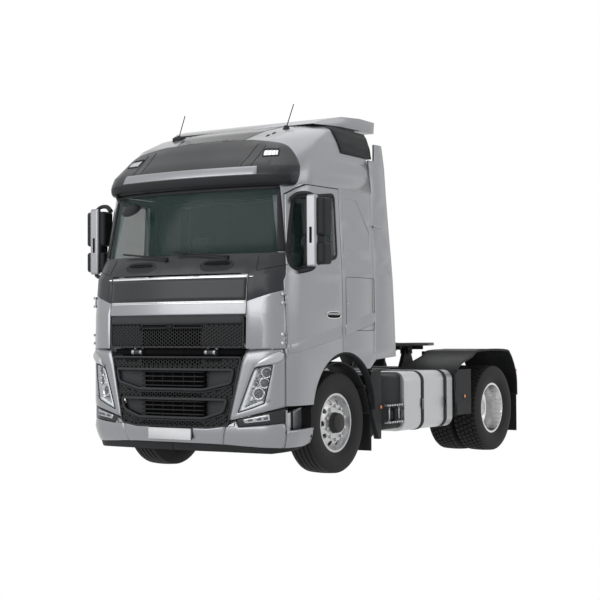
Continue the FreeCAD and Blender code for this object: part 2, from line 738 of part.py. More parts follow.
def write_cab_shell():
    """Floor, back wall, side walls, and the front with its pillars, bulkhead and hinge lugs."""
    outer, walls = whole_skin(0), sheet(0, wall)
    back_inner = station(cab_back) - wall
    front_edge = station(door_rear) + seam_gap
    upper = walls.common(slab(cab_bottom, roof_seam))
    low_edge = side_prism([(front_edge, cab_bottom), (station(cab_back), cab_bottom),
                           (station(cab_back), skirt_rear_bottom), (station(500.0), skirt_bottom),
                           (front_edge, skirt_bottom)], -1500, 1500)
    inside = block(-cab_half_width + wall + 10, cab_half_width - wall - 10, station(-1500.0),
                   station(cab_back) + overrun, skirt_bottom - overrun, cab_bottom)
    arches = Part.makeCompound([arch(arch_radius, 700, 1500), arch(arch_radius, -1500, -700)])
    floor = whole_skin(wall).common(slab(cab_bottom, cab_bottom + floor_thickness))
    floor = floor.common(block(-1500, 1500, station(bulkhead_y), back_inner, 1000, 1400)).cut(arches)
    floor = floor.cut(Part.makeCompound(door_holes()))
    corner = block(floor_corner_half, 1500, nose_y, station(door_front), 1000, 1400)
    floor = floor.cut(pair(corner))
    write("cab_floor", floor)
    behind = block(-1500, 1500, back_inner, station(cab_back) + overrun, 900, 3000)
    write("cab_back_wall", upper.common(behind))
    side_zone = block(-1500, 1500, station(front_zone_rear), back_inner, 900, 3000)
    sides_up = upper.common(side_zone).cut(Part.makeCompound(door_holes()))
    skirts = walls.common(low_edge).cut(inside)
    write("cab_side_walls", fuse([sides_up, skirts]).cut(arches))
    front_zone = block(-1500, 1500, nose_y - 300, station(front_zone_rear), 900, 3000)
    front = upper.common(front_zone)
    bay = lid_half_width + seam_gap
    cuts = door_holes() + [cowl_bar()]
    cuts.append(front_prism([(-bay, cab_bottom - overrun), (bay, cab_bottom - overrun),
                             (bay, lid_top + lid_swing_gap), (-bay, lid_top + lid_swing_gap)],
                            nose_y - 200, station(bulkhead_y)))
    cuts.append(front_prism(windscreen_outline(), nose_y - 200, station(-600.0)))
    cuts.append(block(-1500, 1500, nose_y - 200, station(door_front), 1000, panel_bottom))
    rooms = hinge_cylinders(hinge_room, 0, 1)
    front = front.cut(Part.makeCompound(cuts + rooms + [mirrored(r) for r in rooms]))
    bulkhead = block(-bulkhead_half, bulkhead_half, station(bulkhead_y), station(bulkhead_y) + bulkhead_thickness,
                     cab_bottom + floor_thickness, lid_top + seam_gap).common(outer).cut(Part.makeCompound([cowl_bar()] + door_holes()))
    lugs = []
    for low, high in ((0.0, 0.24), (0.76, 1.0)):
        lugs += hinge_cylinders(hinge_radius, low, high)
        for z in hinge_zone:
            lugs.append(block(hinge_x - 30, hinge_x - 4, station(hinge_y) - 40, station(hinge_y),
                              z + hinge_height * low, z + hinge_height * high))
    lugs += hinge_cylinders(hinge_pin_radius, 0, 1)
    lugs += [mirrored(l) for l in lugs]
    ay, az = lid_axis()
    arms = []
    for side in sides:
        for off in (-lid_ear_half - 14, lid_ear_half + 2):
            x = side * lid_hinge_x + off
            arms.append(block(x, x + 12, ay, station(bulkhead_y) + 1, az - 10, az + 10))
            arms.append(rod((x, ay, az), (x + 12, ay, az), lid_ear_radius))
        arms.append(rod((side * lid_hinge_x - lid_ear_half - 12, ay, az),
                        (side * lid_hinge_x + lid_ear_half + 12, ay, az), lid_pin_radius))
    eyes = []
    for side in sides:
        x0 = side * (tilt_pivot_x + bracket_width / 2 + 4)
        x1 = side * (tilt_pivot_x + bracket_width / 2 + 34)
        i0 = side * (tilt_pivot_x - bracket_width / 2 - 4)
        i1 = side * (tilt_pivot_x - bracket_width / 2 - 34)
        py, pz = station(tilt_pivot_y), tilt_pivot_z
        for a, b in ((x0, x1), (i0, i1)):
            eyes.append(rod((a, py, pz), (b, py, pz), 30.0))
            eyes.append(block(a, b, py + overrun, station(bulkhead_y) + bulkhead_thickness / 2, pz - 26,
                              cab_bottom + floor_thickness + 60))
        eyes.append(rod((i1, py, pz), (x1, py, pz), tilt_pin_radius))
    write("cab_front", fuse([front, bulkhead] + lugs + arms + eyes).cut(floor))


bulkhead_half = 1100.0
front_zone_rear = -590.0


def cowl_solid():
    return sheet(0, wall).common(cowl_bar()).cut(Part.makeCompound(door_holes()))


def write_cowl():
    write("cowl", cowl_solid())


def write_lid():
    """Front lid with the upper grille, hung on two pins under its top edge."""
    x = lid_half_width
    ay, az = lid_axis()
    panel = sheet(0, lid_thickness)
    upper = panel.common(front_prism([(-x, grille_top), (x, grille_top), (x, lid_top), (-x, lid_top)],
                                     nose_y - 200, station(bulkhead_y)))
    nose_round = block(-x, x, nose_y - 200, ay, az, lid_top + overrun).cut(
        rod((-x, ay, az), (x, ay, az), math.hypot(lid_hinge_depth, 2)))
    upper = upper.cut(nose_round)
    pockets, ears = [], []
    for side in sides:
        cx = side * lid_hinge_x
        pockets.append(block(cx - 32, cx + 32, ay - 12, ay + 80, az - 16, lid_top + overrun))
        ears.append(rod((cx - lid_ear_half, ay, az), (cx + lid_ear_half, ay, az), lid_ear_radius))
        ears.append(block(cx - lid_ear_half, cx + lid_ear_half, ay - 10, ay + 18, az - 40, az))
    bores = [rod((-x, ay, az), (x, ay, az), lid_pin_radius + pin_clearance)]
    lid = fuse([upper.cut(Part.makeCompound(pockets))] + ears).cut(bores[0])
    write("front_lid", lid)
    inset = x - 6
    grille = sheet(4, 34).common(front_prism([(-inset, panel_bottom), (inset, panel_bottom), (inset, grille_top),
                                        (-inset, grille_top)], nose_y - 200, station(bulkhead_y)))
    write("upper_grille", grille)


roof_wall = 42.0
vent_low = 3222.0


def roof_skin(low, high, inset):
    return skin(low, high, inset, roof_heights, roof_noses, roof_half_widths)


visor_heights = (2838.0, 2870.0, 2940.0, 3020.0, 3140.0, 3335.0)
visor_noses = (-975.0, -1000.0, -1022.0, -985.0, -838.0, -626.0)
visor_half_widths = (1203.0, 1202.0, 1190.0, 1180.0, 1158.0, 1106.0)
visor_rear = -590.0
visor_corner = -735.0
hatch_front = -585.0
hatch_rear = -80.0


def write_roof():
    """High roof, black visor round its brow, roof hatch, side vents and spoiler."""
    cap = roof_skin(roof_seam, roof_top, 0)
    hollow = roof_skin(roof_seam - overrun, roof_top - roof_wall, roof_wall)
    hatch_plan = [(-430, station(hatch_front)), (430, station(hatch_front)), (560, station(hatch_rear)),
                  (-560, station(hatch_rear))]
    write("roof_cap", cap.cut(hollow))
    brow = Part.makeLoft([plan_wire(z, n, w, cab_back, 0)
                          for z, n, w in zip(visor_heights, visor_noses, visor_half_widths)], True, True)
    zone = side_prism([(nose_y - 200, 2800), (station(visor_corner), 2800), (station(visor_rear), 3240),
                       (station(visor_rear), 3400), (nose_y - 200, 3400)], -1500, 1500)
    brow = brow.common(zone).cut(cap).cut(whole_skin(0))
    write("visor", brow)
    plate = roof_skin(3250, roof_top - 2, -5).cut(cap).common(plan_prism(hatch_plan, 3250, roof_top - 2))
    write("roof_hatch", plate)
    vent_outline = [(station(90.0), roof_top - 8), (station(770.0), roof_top - 30),
                    (station(720.0), vent_low), (station(135.0), vent_low + 14)]
    vents = []
    long_outer = Part.makeLoft([plan_wire(z, n, w, 860.0, -14)
                                for z, n, w in zip(roof_heights, roof_noses, roof_half_widths)], True, True)
    long_inner = Part.makeLoft([plan_wire(z, n, w, 860.0, 60)
                                for z, n, w in zip(roof_heights, roof_noses, roof_half_widths)], True, True)
    band = long_outer.cut(long_inner).cut(cap)
    write("roof_vents", pair(band.common(side_prism(vent_outline, 600, 1500))))
    spoiler = side_prism([(station(-20.0), roof_top), (station(60.0), roof_top + 40),
                          (station(330.0), roof_top + 104), (station(700.0), roof_top + 128),
                          (station(1000.0), roof_top + 120), (station(985.0), roof_top),
                          (station(880.0), roof_top)], -1015, 1015)
    trim = plan_prism([(-1015, station(330.0)), (-900, station(-20.0)), (900, station(-20.0)),
                       (1015, station(330.0)), (1015, station(1100.0)), (-1015, station(1100.0))],
                      roof_top - 10, roof_top + 200)
    wing = spoiler.common(trim)
    tunnel = block(-600, 600, station(300.0), station(1100.0), roof_top - 10, roof_top + 60)
    write("roof_spoiler", wing.cut(tunnel))


deflector_rear_low = 1035.0
deflector_rear_high = 930.0
deflector_wall = 30.0
deflector_bottom = 1130.0
deflector_top = 3385.0
deflector_split = 2840.0


def long_skin(low, high, inset, back):
    heights = skin_heights + roof_heights[1:]
    noses = skin_noses + roof_noses[1:]
    halves = skin_half_widths + (1185.0, 1175.0, 1150.0, 1130.0, 1110.0)
    levels = [low] + [h for h in heights if low < h < high] + [high]
    return Part.makeLoft([plan_wire(z, between(z, heights, noses), between(z, heights, halves), back, inset)
                          for z in levels], True, True)


def write_deflectors():
    """Side air deflectors behind the cab, flanged to its back wall."""
    back = deflector_rear_low + 200
    wall_sheet = long_skin(deflector_bottom, deflector_top, 0, back).cut(
        long_skin(deflector_bottom - overrun, deflector_top + overrun, deflector_wall, back + 100))
    y0 = station(cab_back)
    outline = [(y0, deflector_bottom), (station(deflector_rear_low), deflector_bottom + 26),
               (station(deflector_rear_high), deflector_split), (station(deflector_rear_high), deflector_top),
               (station(790.0), deflector_top), (station(745.0), vent_low - overrun), (y0, vent_low - overrun)]
    panel = wall_sheet.common(side_prism(outline, 900, 1500))
    flange = block(1000, 1170, y0, y0 + 20, 1300, 2780)
    ribs = [block(1100, 1225, y0, y0 + 160, z, z + 20) for z in (1500, 2000, 2500)]
    write("side_deflectors", pair(fuse([panel, flange] + ribs)))


def window_outline():
    """Side window opening, as (y, z) points."""
    points = [(-723.0, 2705.0), (-640.0, 2765.0), (-131.0, 2773.0), (-129.0, 2167.0),
              (-562.0, 2070.0), (-828.0, 2023.0), (-864.0, 2061.0)]
    return [(station(y), z) for y, z in points]


window_inset = 24.0


def write_doors():
    """Left door, mirrored to make the right one."""
    door = sheet(0, door_wall).common(side_prism(door_opening(0), 700, 1500))
    door = door.cut(arch(arch_radius, 700, 1500))
    window = side_prism(window_outline(), 700, 1500)
    door = door.cut(window)
    door = door.cut(Part.makeCompound(hinge_cylinders(hinge_room, 0, 1)))
    ears = hinge_cylinders(hinge_radius, 0.28, 0.72)
    for z in hinge_zone:
        ears.append(block(hinge_x - 34, hinge_x - 3, station(hinge_y), station(hinge_y) + 40,
                          z + hinge_height * 0.28, z + hinge_height * 0.72))
    bores = hinge_cylinders(hinge_pin_radius + pin_clearance, 0, 1)
    door = fuse([door] + ears).cut(Part.makeCompound(bores))
    glass = sheet(window_inset, window_inset + glass_thickness).common(window)
    mirror = mirror_solid()
    for word, turn in (("left", lambda s: s), ("right", mirrored)):
        write("door_" + word, turn(door))
        write("door_glass_" + word, turn(glass))
        write("mirror_" + word, turn(mirror))


mirror_x = 1375.0
mirror_half = 122.0
mirror_y = -660.0


def mirror_solid():
    """Two mirror heads on an upright housing, held by arms at its top and bottom."""
    y = station(mirror_y)
    upper = block(mirror_x - mirror_half, mirror_x + mirror_half, y - 55, y + 55, 2330, 2700)
    lower = block(mirror_x - mirror_half, mirror_x + mirror_half, y - 55, y + 55, 2060, 2275)
    heads = [rounded(h, 40.0, along((0, 1, 0))) for h in (upper, lower)]
    spine = rounded(block(mirror_x - 60, mirror_x + 60, y - 100, y - 50, 2040, 2725), 20.0, along((0, 0, 1)))
    top_arm = [rod((mirror_x, y - 75, 2712), (1230, y - 60, 2745), 17.0),
               rod((1230, y - 60, 2745), (1140, y - 40, 2735), 17.0)]
    low_arm = side_prism([(y - 130, 1985), (y + 60, 2035), (y - 40, 2085), (y - 110, 2085)], 1200, 1345)
    skin_cut = whole_skin(0)
    foot = block(1150, 1235, y - 110, y + 20, 2712, 2752)
    arms = fuse(top_arm + [foot, low_arm]).cut(skin_cut)
    return fuse(heads + [spine, arms])


def write_glass():
    screen = sheet(glass_inset, glass_inset + glass_thickness)
    write("windscreen", screen.common(front_prism(windscreen_outline(), nose_y - 200, station(-600.0))))


dash_gap = 34.0


def write_interior():
    """Seats, dashboard with the steering wheel, and the bunk."""
    floor = cab_bottom + floor_thickness
    seats = []
    for x in (560.0, -560.0):
        y = station(-330.0)
        base = block(x - 200, x + 200, y - 230, y + 200, floor, floor + 260)
        cushion = block(x - 255, x + 255, y - 270, y + 240, floor + 260, floor + 400)
        back = side_prism([(y + 150, floor + 380), (y + 270, floor + 380), (y + 380, floor + 1010),
                           (y + 270, floor + 1010)], x - 245, x + 245)
        rest = side_prism([(y + 285, floor + 1000), (y + 375, floor + 1000), (y + 400, floor + 1200),
                           (y + 310, floor + 1200)], x - 130, x + 130)
        seats.append(fuse([base, cushion, back, rest]))
    write("seats", Part.makeCompound(seats))
    y0 = station(bulkhead_y) + bulkhead_thickness
    top = 2150.0
    dash = side_prism([(y0, floor + 380), (station(-780.0), floor + 420), (station(-700.0), 1930),
                       (station(-800.0), top), (station(-960.0), top), (y0, 1980)], -1060, 1060)
    dash = dash.common(whole_skin(wall + dash_gap))
    tunnel = block(-330, 330, y0, station(-100.0), floor, floor + 200)
    console = block(-150, 150, y0, station(-800.0), floor + 150, 1900)
    wheel = Part.makeTorus(215.0, 17.0)
    wheel.rotate(Vector(0, 0, 0), Vector(1, 0, 0), 32)
    centre = (560.0, station(-640.0), 1960.0)
    wheel.translate(Vector(*centre))
    column = rod(centre, (560.0, station(-800.0), 1800.0), 40.0)
    spokes = block(360, 760, centre[1] - 16, centre[1] + 16, centre[2] - 12, centre[2] + 12)
    write("dashboard", fuse([dash, tunnel, console, wheel, column, spokes]))
    bunk = block(-1150, 1150, station(40.0), station(cab_back) - wall, floor, 1800)
    write("bunk", rounded(bunk, 40.0, along((1, 0, 0))))


tank_gap = 45.0
tank_x0 = frame_half_width + tank_gap
tank_x1 = cab_half_width - 10.0
tank_top = 985.0
tank_bottom = 350.0
tank_corner = 110.0
tank_front = 1225.0
tank_rear = 2330.0
strap_stations = (1595.0, 2130.0)
strap_width = 60.0


def tank(x0, x1, s0, s1):
    body = block(x0, x1, station(s0), station(s1), tank_bottom, tank_top)
    return rounded(body, tank_corner, along((0, 1, 0)))


def write_tanks():
    body = tank(tank_x0, tank_x1, tank_front, tank_rear)
    write("fuel_tank", body)
    straps, carriers = [], []
    for s in strap_stations:
        y0, y1 = station(s), station(s) + strap_width
        outer = rounded(block(tank_x0 - 6, tank_x1 + 6, y0, y1, tank_bottom - 6, tank_top + 6),
                        tank_corner + 6, along((0, 1, 0)))
        straps.append(outer.cut(body))
        carriers.append(block(frame_half_width, tank_x0 - 6, y0, y1, rail_bottom, tank_top - 120))
    straps = [fuse([s, c]) for s, c in zip(straps, carriers)]
    write("tank_straps", Part.makeCompound(straps))
    box = block(frame_half_width, 1190, station(800.0), station(1200.0), 385, 960)
    box = rounded(box, 40.0, along((0, 1, 0)))
    ladder = []
    for z in (480.0, 600.0):
        ladder.append(rod((1180, station(1010.0), z), (1236, station(1010.0), z), 16.0))
        ladder.append(rod((1236, station(1010.0), z), (1236, station(1195.0), z), 16.0))
    ladder.append(rod((1236, station(1010.0), 480), (1236, station(1010.0), 600), 16.0))
    write("battery_box", fuse([box] + ladder))
    silencer = rounded(block(-1215, -frame_half_width, station(810.0), station(1560.0), 360, 975), 70.0,
                       along((0, 1, 0)))
    write("silencer_box", silencer)
    right = rounded(block(-1215, -frame_half_width, station(1600.0), station(2330.0), 380, 960), 60.0,
                    along((0, 1, 0)))
    write("air_tank_box", right)


guard_outer = 606.0
guard_inner = 590.0
guard_x0 = 870.0
guard_x1 = 1172.0


def write_guards():
    """Mudguards over the front wheels with their flaps, and the rear wings."""
    y, z = axle_front_y, axle_z
    shell = ring((guard_x0, y, z + 8), (guard_x1, y, z + 8), guard_outer, guard_inner)
    keep = side_prism([(y - 330, z + 250), (y - 400, 1300), (y + 900, 1300), (y + 900, z + 60),
                       (y + 300, z + 60)], guard_x0 - 1, guard_x1 + 1)
    shell = shell.common(keep)
    flap = block(guard_x0, guard_x1, y + 618, y + 640, 185, 830)
    panel = side_prism([(y + 560, 820), (y + 590, 1010), (y + 790, 1010), (y + 790, 300),
                        (y + 740, 300), (y + 618, 560)], guard_x1 - 30, guard_x1 + 30)
    carrier = block(frame_half_width, guard_x0 + 60, y + 655, y + 695, 820, 870)
    stay = block(guard_x0, guard_x1, y + 490, y + 790, 830, 860)
    write("front_mudguards", pair(fuse([shell, flap, panel, carrier, stay])))
    yr = axle_rear_y
    x0, x1 = 575.0, 1238.0
    outer = rear_guard_solid(yr, z, 0, x0, x1)
    inner = rear_guard_solid(yr, z, wing_wall, x0 - overrun, x1 + overrun)
    wing = outer.cut(inner)
    side_panel = block(x1 - wing_wall, x1, yr - 985, yr - 600, 465, 1010)
    under = wing_top - wing_wall
    arms = [block(frame_half_width, x0 + 60, yr + s, yr + s + 40, under - 30, under + 1) for s in (-300.0, 260.0)]
    legs = [block(frame_half_width, frame_half_width + 30, yr + s, yr + s + 40, rail_bottom + 100, under)
            for s in (-300.0, 260.0)]
    flap = block(x0 + 20, x1 - 10, tail_y - 62, tail_y - 42, 200, 665)
    write("rear_wings", pair(fuse([wing, flap, side_panel] + arms + legs)))


wing_top = 1200.0
wing_wall = 18.0


def rear_guard_solid(yr, z, inset, x0, x1):
    r = 695.0 - inset
    top = wing_top - inset
    foot = 465.0 - 20 * inset
    points = [(yr - r - 290, foot), (yr - r - 290, 960.0 - inset), (yr - 560, top - 60), (yr - 380, top),
              (yr + 300, top), (yr + 480, top - 60), (yr + r - 60, 900.0), (yr + r - 35, 640.0),
              (yr + r - 35, 640.0 - 20 * inset)]
    return side_prism(points, x0, x1)


def write_rear_end():
    """Tail lamps on their rear member, walkway and the coupling's base and plate."""
    y1 = tail_y
    lamp = block(250, 415, y1 - 40, y1, rail_bottom + 60, rail_top - 40)
    write("tail_lamps", pair(lamp))
    walk = block(-frame_half_width, frame_half_width, station(1150.0), station(2330.0), rail_top, rail_top + 30)
    write("walkway", walk)
    cy, top = station(coupling_station), coupling_top
    base_plate = block(-frame_half_width, frame_half_width, cy - 360, cy + 360, rail_top, rail_top + 30)
    pin_z = top - 90.0
    pieces = [base_plate]
    for side in sides:
        x0, x1 = side * 300, side * 350
        pieces.append(side_prism([(cy - 160, rail_top + 30), (cy + 160, rail_top + 30), (cy + 50, pin_z + 20),
                                  (cy - 50, pin_z + 20)], x0, x1))
        pieces.append(rod((side * 255, cy, pin_z), (side * 395, cy, pin_z), 25.0))
    write("coupling_base", fuse(pieces))
    front, rear = cy - 470, cy + 300
    half = 455.0
    plate = plan_prism([(-half, front + 120), (-half + 130, front), (half - 130, front), (half, front + 120),
                        (half, rear), (half - 90, rear + 330), (150, rear + 330), (60, rear + 60),
                        (-60, rear + 60), (-150, rear + 330), (-half + 90, rear + 330), (-half, rear)],
                       top - 36, top)
    throat = plan_prism([(-60, rear + 90), (-26, rear - 60), (-kingpin_jaw_radius, cy + 40),
                         (-kingpin_jaw_radius, cy), (kingpin_jaw_radius, cy), (kingpin_jaw_radius, cy + 40),
                         (26, rear - 60), (60, rear + 90)], top - 120, top + 10)
    jaw = rod((0, cy, top - 120), (0, cy, top + 10), kingpin_jaw_radius)
    block_under = block(-120, 120, cy - 130, cy + 130, top - 96, top - 36)
    ears = []
    for side in sides:
        for x in (268.0, 362.0):
            low = block(side * x, side * (x + 22), cy - 45, cy + 45, pin_z - 40, top - 30)
            ears.append(low)
    ribs = [block(-half + 40, half - 40, cy + s, cy + s + 20, top - 80, top - 30) for s in (-300.0, 240.0)]
    bore = rod((-half, cy, pin_z), (half, cy, pin_z), 25.0 + pin_clearance)
    body = fuse([plate, block_under] + ears + ribs).cut(Part.makeCompound([throat, jaw, bore]))
    write("coupling_plate", body)


def write_fittings():
    """Aerials, wipers and the kerb mirror over the windscreen."""
    x, y = 690.0, station(-200.0)
    base_z = 3440.0
    base = Part.makeCone(55.0, 20.0, 70.0, Vector(x, y, base_z))
    mast = rod((x, y, base_z + 50), (x + 10, y + 120, base_z + 300), 5.0)
    cap = roof_skin(roof_seam, roof_top, 0)
    write("aerials", pair(fuse([base, mast]).cut(cap)))
    wipers = []
    for pivot, tip in wiper_spans:
        z0, z1 = wiper_pivot_z, wiper_tip_z
        foot = (pivot, skin_front(pivot, z0), z0)
        knee = (pivot, skin_front(pivot, z0) - wiper_stand, z0 + wiper_stand / 2)
        end = (tip, skin_front(tip, z1) - wiper_stand, z1)
        pieces = [rod((pivot, foot[1] + wiper_stand, z0), (pivot, foot[1] - wiper_stand, z0), wiper_boss_radius),
                  rod(knee, end, wiper_arm_radius)]
        wipers.append(fuse(pieces).cut(whole_skin(0)))
    write("wipers", Part.makeCompound(wipers))


wiper_spans = ((560.0, -60.0), (-160.0, -780.0))
wiper_pivot_z = 2140.0
wiper_tip_z = 2215.0
wiper_stand = 26.0
wiper_boss_radius = 22.0
wiper_arm_radius = 9.0


def main():
    os.makedirs("parts", exist_ok=True)
    write_wheels()
    write_frame()
    write_front_axle()
    write_knuckles()
    write_front_springs()
    write_rear_axle()
    write_rear_suspension()
    write_engine()
    write_cab_mounts()
    write_lower_front()
    write_cab_shell()
    write_cowl()
    write_lid()
    write_roof()
    write_deflectors()
    write_doors()
    write_glass()
    write_interior()
    write_tanks()
    write_guards()
    write_rear_end()
    write_fittings()


main()
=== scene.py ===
import math

import bmesh
import bpy
import numpy as np
from mathutils import Matrix, Vector


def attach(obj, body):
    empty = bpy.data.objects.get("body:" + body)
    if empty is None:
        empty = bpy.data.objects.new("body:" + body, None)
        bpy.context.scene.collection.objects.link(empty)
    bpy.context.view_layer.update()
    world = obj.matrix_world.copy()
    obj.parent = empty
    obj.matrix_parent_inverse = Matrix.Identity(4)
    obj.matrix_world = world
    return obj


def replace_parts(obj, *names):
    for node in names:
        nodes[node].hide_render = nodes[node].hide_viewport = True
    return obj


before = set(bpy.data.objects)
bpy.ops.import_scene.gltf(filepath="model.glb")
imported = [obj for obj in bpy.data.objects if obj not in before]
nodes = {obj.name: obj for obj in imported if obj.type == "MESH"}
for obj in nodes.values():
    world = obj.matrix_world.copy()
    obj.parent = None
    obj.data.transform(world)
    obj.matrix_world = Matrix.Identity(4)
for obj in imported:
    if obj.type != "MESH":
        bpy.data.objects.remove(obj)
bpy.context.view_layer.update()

# Lengths are metres. X points to the truck's left, the nose points to -Y, and a station is a
# distance along Y behind the front axle.
axleY = -1.43
rearAxleY = 1.97
axleZ = 0.507
noseRadius = 4.0
cornerRadius = 0.335

# Nose station and half width of the body's skins at chosen heights
cabTable = dict(z=(0.716, 1.262, 1.6, 1.966, 2.18, 2.5, 2.85),
                nose=(-1.229, -1.229, -1.221, -1.186, -1.058, -0.995, -0.934),
                half=(1.243, 1.245, 1.245, 1.24, 1.23, 1.212, 1.195))
lowTable = dict(z=(0.0, 1.3), nose=(-1.229, -1.229), half=(1.24, 1.24))
roofTable = dict(z=(2.85, 3.0, 3.14, 3.33, 3.45, 3.53), nose=(-0.934, -0.9, -0.82, -0.615, -0.35, -0.06),
                 half=(1.195, 1.175, 1.15, 1.1, 1.045, 0.985))
visorTable = dict(z=(2.838, 2.87, 2.94, 3.02, 3.14, 3.335),
                  nose=(-0.975, -1.0, -1.022, -0.985, -0.838, -0.626),
                  half=(1.203, 1.202, 1.19, 1.18, 1.158, 1.106))


class Value:
    # A node's output: Python's operators on it add Math nodes

    def __init__(self, tree, socket):
        self.tree = tree
        self.socket = socket

    def math(self, operation, first, second=None):
        values = {0: first} if second is None else {0: first, 1: second}
        return self.tree.node("Math", dict(operation=operation), values)

    def __add__(self, other):
        return self.math("ADD", self, other)

    def __radd__(self, other):
        return self.math("ADD", other, self)

    def __sub__(self, other):
        return self.math("SUBTRACT", self, other)

    def __rsub__(self, other):
        return self.math("SUBTRACT", other, self)

    def __mul__(self, other):
        return self.math("MULTIPLY", self, other)

    def __rmul__(self, other):
        return self.math("MULTIPLY", other, self)

    def __truediv__(self, other):
        return self.math("DIVIDE", self, other)

    def __rtruediv__(self, other):
        return self.math("DIVIDE", other, self)

    def sine(self):
        return self.math("SINE", self)

    def size(self):
        return self.math("ABSOLUTE", self)

    def larger(self, other):
        return self.math("MAXIMUM", self, other)

    def smaller(self, other):
        return self.math("MINIMUM", self, other)

    def above(self, edge, soft):
        # 0 below the edge and 1 above it, over a soft width
        return ((self - edge) / soft + 0.5).larger(0.0).smaller(1.0)


class Tree:
    # A node tree whose nodes all come from one method

    def __init__(self, nodeTree):
        self.nodeTree = nodeTree

    def feed(self, socket, value):
        if isinstance(value, Value):
            self.nodeTree.links.new(value.socket, socket)
        else:
            socket.default_value = value

    def node(self, kind, settings=None, sockets=None, output=0):
        made = self.nodeTree.nodes.new("ShaderNode" + kind)
        for key, setting in (settings or {}).items():
            setattr(made, key, setting)
        for key, value in (sockets or {}).items():
            self.feed(made.inputs[key], value)
        return Value(self, made.outputs[output]) if made.outputs else None

    def cameraSees(self):
        # 1 for camera, mirror and see-through rays, 0 for light that bounces
        camera, glossy, through = (self.node("LightPath", output=name) for name in
                                   ("Is Camera Ray", "Is Glossy Ray", "Is Transmission Ray"))
        return (camera + glossy + through).smaller(1.0)


class Shade(Tree):
    # One principled material, patterned by Object coordinates

    def __init__(self, name, base, roughness=0.5, metallic=0.0, **constant):
        self.material = bpy.data.materials.new(name)
        self.material.use_nodes = True
        super().__init__(self.material.node_tree)
        self.shader = self.nodeTree.nodes["Principled BSDF"]
        self.put("Base Color", (*base, 1.0))
        self.put("Roughness", roughness)
        self.put("Metallic", metallic)
        for key, value in constant.items():
            self.put(key.replace("_", " "), value)
        self.relief = None

    def put(self, name, value):
        self.feed(self.shader.inputs[name], value)

    def place(self, stretch=(1, 1, 1)):
        spot = self.node("TexCoord", output="Object")
        return self.node("Mapping", {}, {"Vector": spot, "Scale": stretch})

    def axis(self, letter):
        return self.node("SeparateXYZ", {}, {0: self.place()}, output=letter)

    def noise(self, scale, detail=3.0, stretch=(1, 1, 1)):
        return self.node("TexNoise", {}, {"Vector": self.place(stretch), "Scale": scale, "Detail": detail,
                                          "Roughness": 0.55})

    def cells(self, scale, stretch=(1, 1, 1)):
        return self.node("TexVoronoi", dict(feature="F1"), {"Vector": self.place(stretch), "Scale": scale},
                         "Distance")

    def blend(self, share, low, high, socket="Base Color"):
        # Colour that runs from low to high with the share
        self.put(socket, self.node("Mix", dict(data_type="RGBA"), {0: share, 6: (*low, 1.0), 7: (*high, 1.0)}, 2))

    def rough(self, share, low, high):
        self.put("Roughness", share * (high - low) + low)

    def bump(self, height, distance, strength=1.0):
        sockets = {"Strength": strength, "Distance": distance, "Height": height}
        if self.relief:
            sockets["Normal"] = self.relief
        self.relief = self.node("Bump", {}, sockets)
        self.put("Normal", self.relief)


# Metallic paint: cloudy colour, fine flakes and a clear coat
paintLook = dict(low=(0.25, 0.254, 0.268), high=(0.275, 0.279, 0.294), metallic=0.82, coat=0.5)


# Colour and gloss follow soft noises, and a very fine noise makes the flakes
def makePaint():
    look = paintLook
    shade = Shade("silverPaint", look["low"], 0.34, look["metallic"], Coat_Weight=look["coat"], Coat_Roughness=0.06)
    shade.blend(shade.noise(1.3, 2.0), look["low"], look["high"])
    shade.rough(shade.noise(9.0, 3.0), 0.3, 0.38)
    shade.bump(shade.noise(2600.0, 1.0), 0.0002, 0.25)
    return shade.material


# Dark gloss panel: colour and gloss follow one film of dust
def makeDark():
    shade = Shade("darkPanel", (0.017, 0.018, 0.02), 0.4, 0.0, Coat_Weight=0.18, Coat_Roughness=0.2,
                  Specular_IOR_Level=0.25)
    dust = shade.noise(5.0, 4.0)
    shade.blend(dust, (0.014, 0.0146, 0.0165), (0.022, 0.023, 0.0255))
    shade.rough(dust, 0.34, 0.46)
    shade.bump(shade.noise(900.0, 2.0), 0.0002, 0.2)
    return shade.material


# Grained plastic: dusty colour over a fine cell relief
def makePlastic(name, low, high, roughness, grain):
    shade = Shade(name, low, roughness, Specular_IOR_Level=0.2)
    dust = shade.noise(6.0, 4.0)
    shade.blend(dust, low, high)
    shade.rough(dust, roughness - 0.06, roughness + 0.1)
    shade.bump(shade.cells(grain), 0.0004, 0.35)
    return shade.material


# Tyre rubber: dusty colour over a soft noise relief
def makeRubber():
    shade = Shade("tyreRubber", (0.016, 0.016, 0.017), 0.72, Specular_IOR_Level=0.25)
    dust = shade.noise(7.0, 5.0)
    shade.blend(dust, (0.012, 0.012, 0.013), (0.027, 0.026, 0.025))
    shade.rough(dust, 0.62, 0.82)
    shade.bump(shade.noise(320.0, 3.0), 0.0006, 0.3)
    return shade.material


# Worn or polished metal: colour and gloss follow one soft noise
def makeSteel(name, low, high, roughness, metallic, grain=420.0):
    shade = Shade(name, low, roughness, metallic)
    wear = shade.noise(14.0, 4.0)
    shade.blend(wear, low, high)
    shade.rough(wear, roughness - 0.07, roughness + 0.09)
    shade.bump(shade.noise(grain, 2.0), 0.0003, 0.25)
    return shade.material


# Brushed sheet: noise drawn out along the tank
def makeBrushed():
    shade = Shade("brushedTank", (0.5, 0.505, 0.515), 0.34, 0.9)
    lines = shade.noise(60.0, 4.0, (14.0, 0.25, 14.0))
    shade.blend(lines, (0.42, 0.425, 0.435), (0.54, 0.55, 0.56))
    shade.rough(shade.noise(3.0, 3.0) * 0.5 + lines * 0.5, 0.26, 0.44)
    shade.bump(lines, 0.0003, 0.3)
    return shade.material


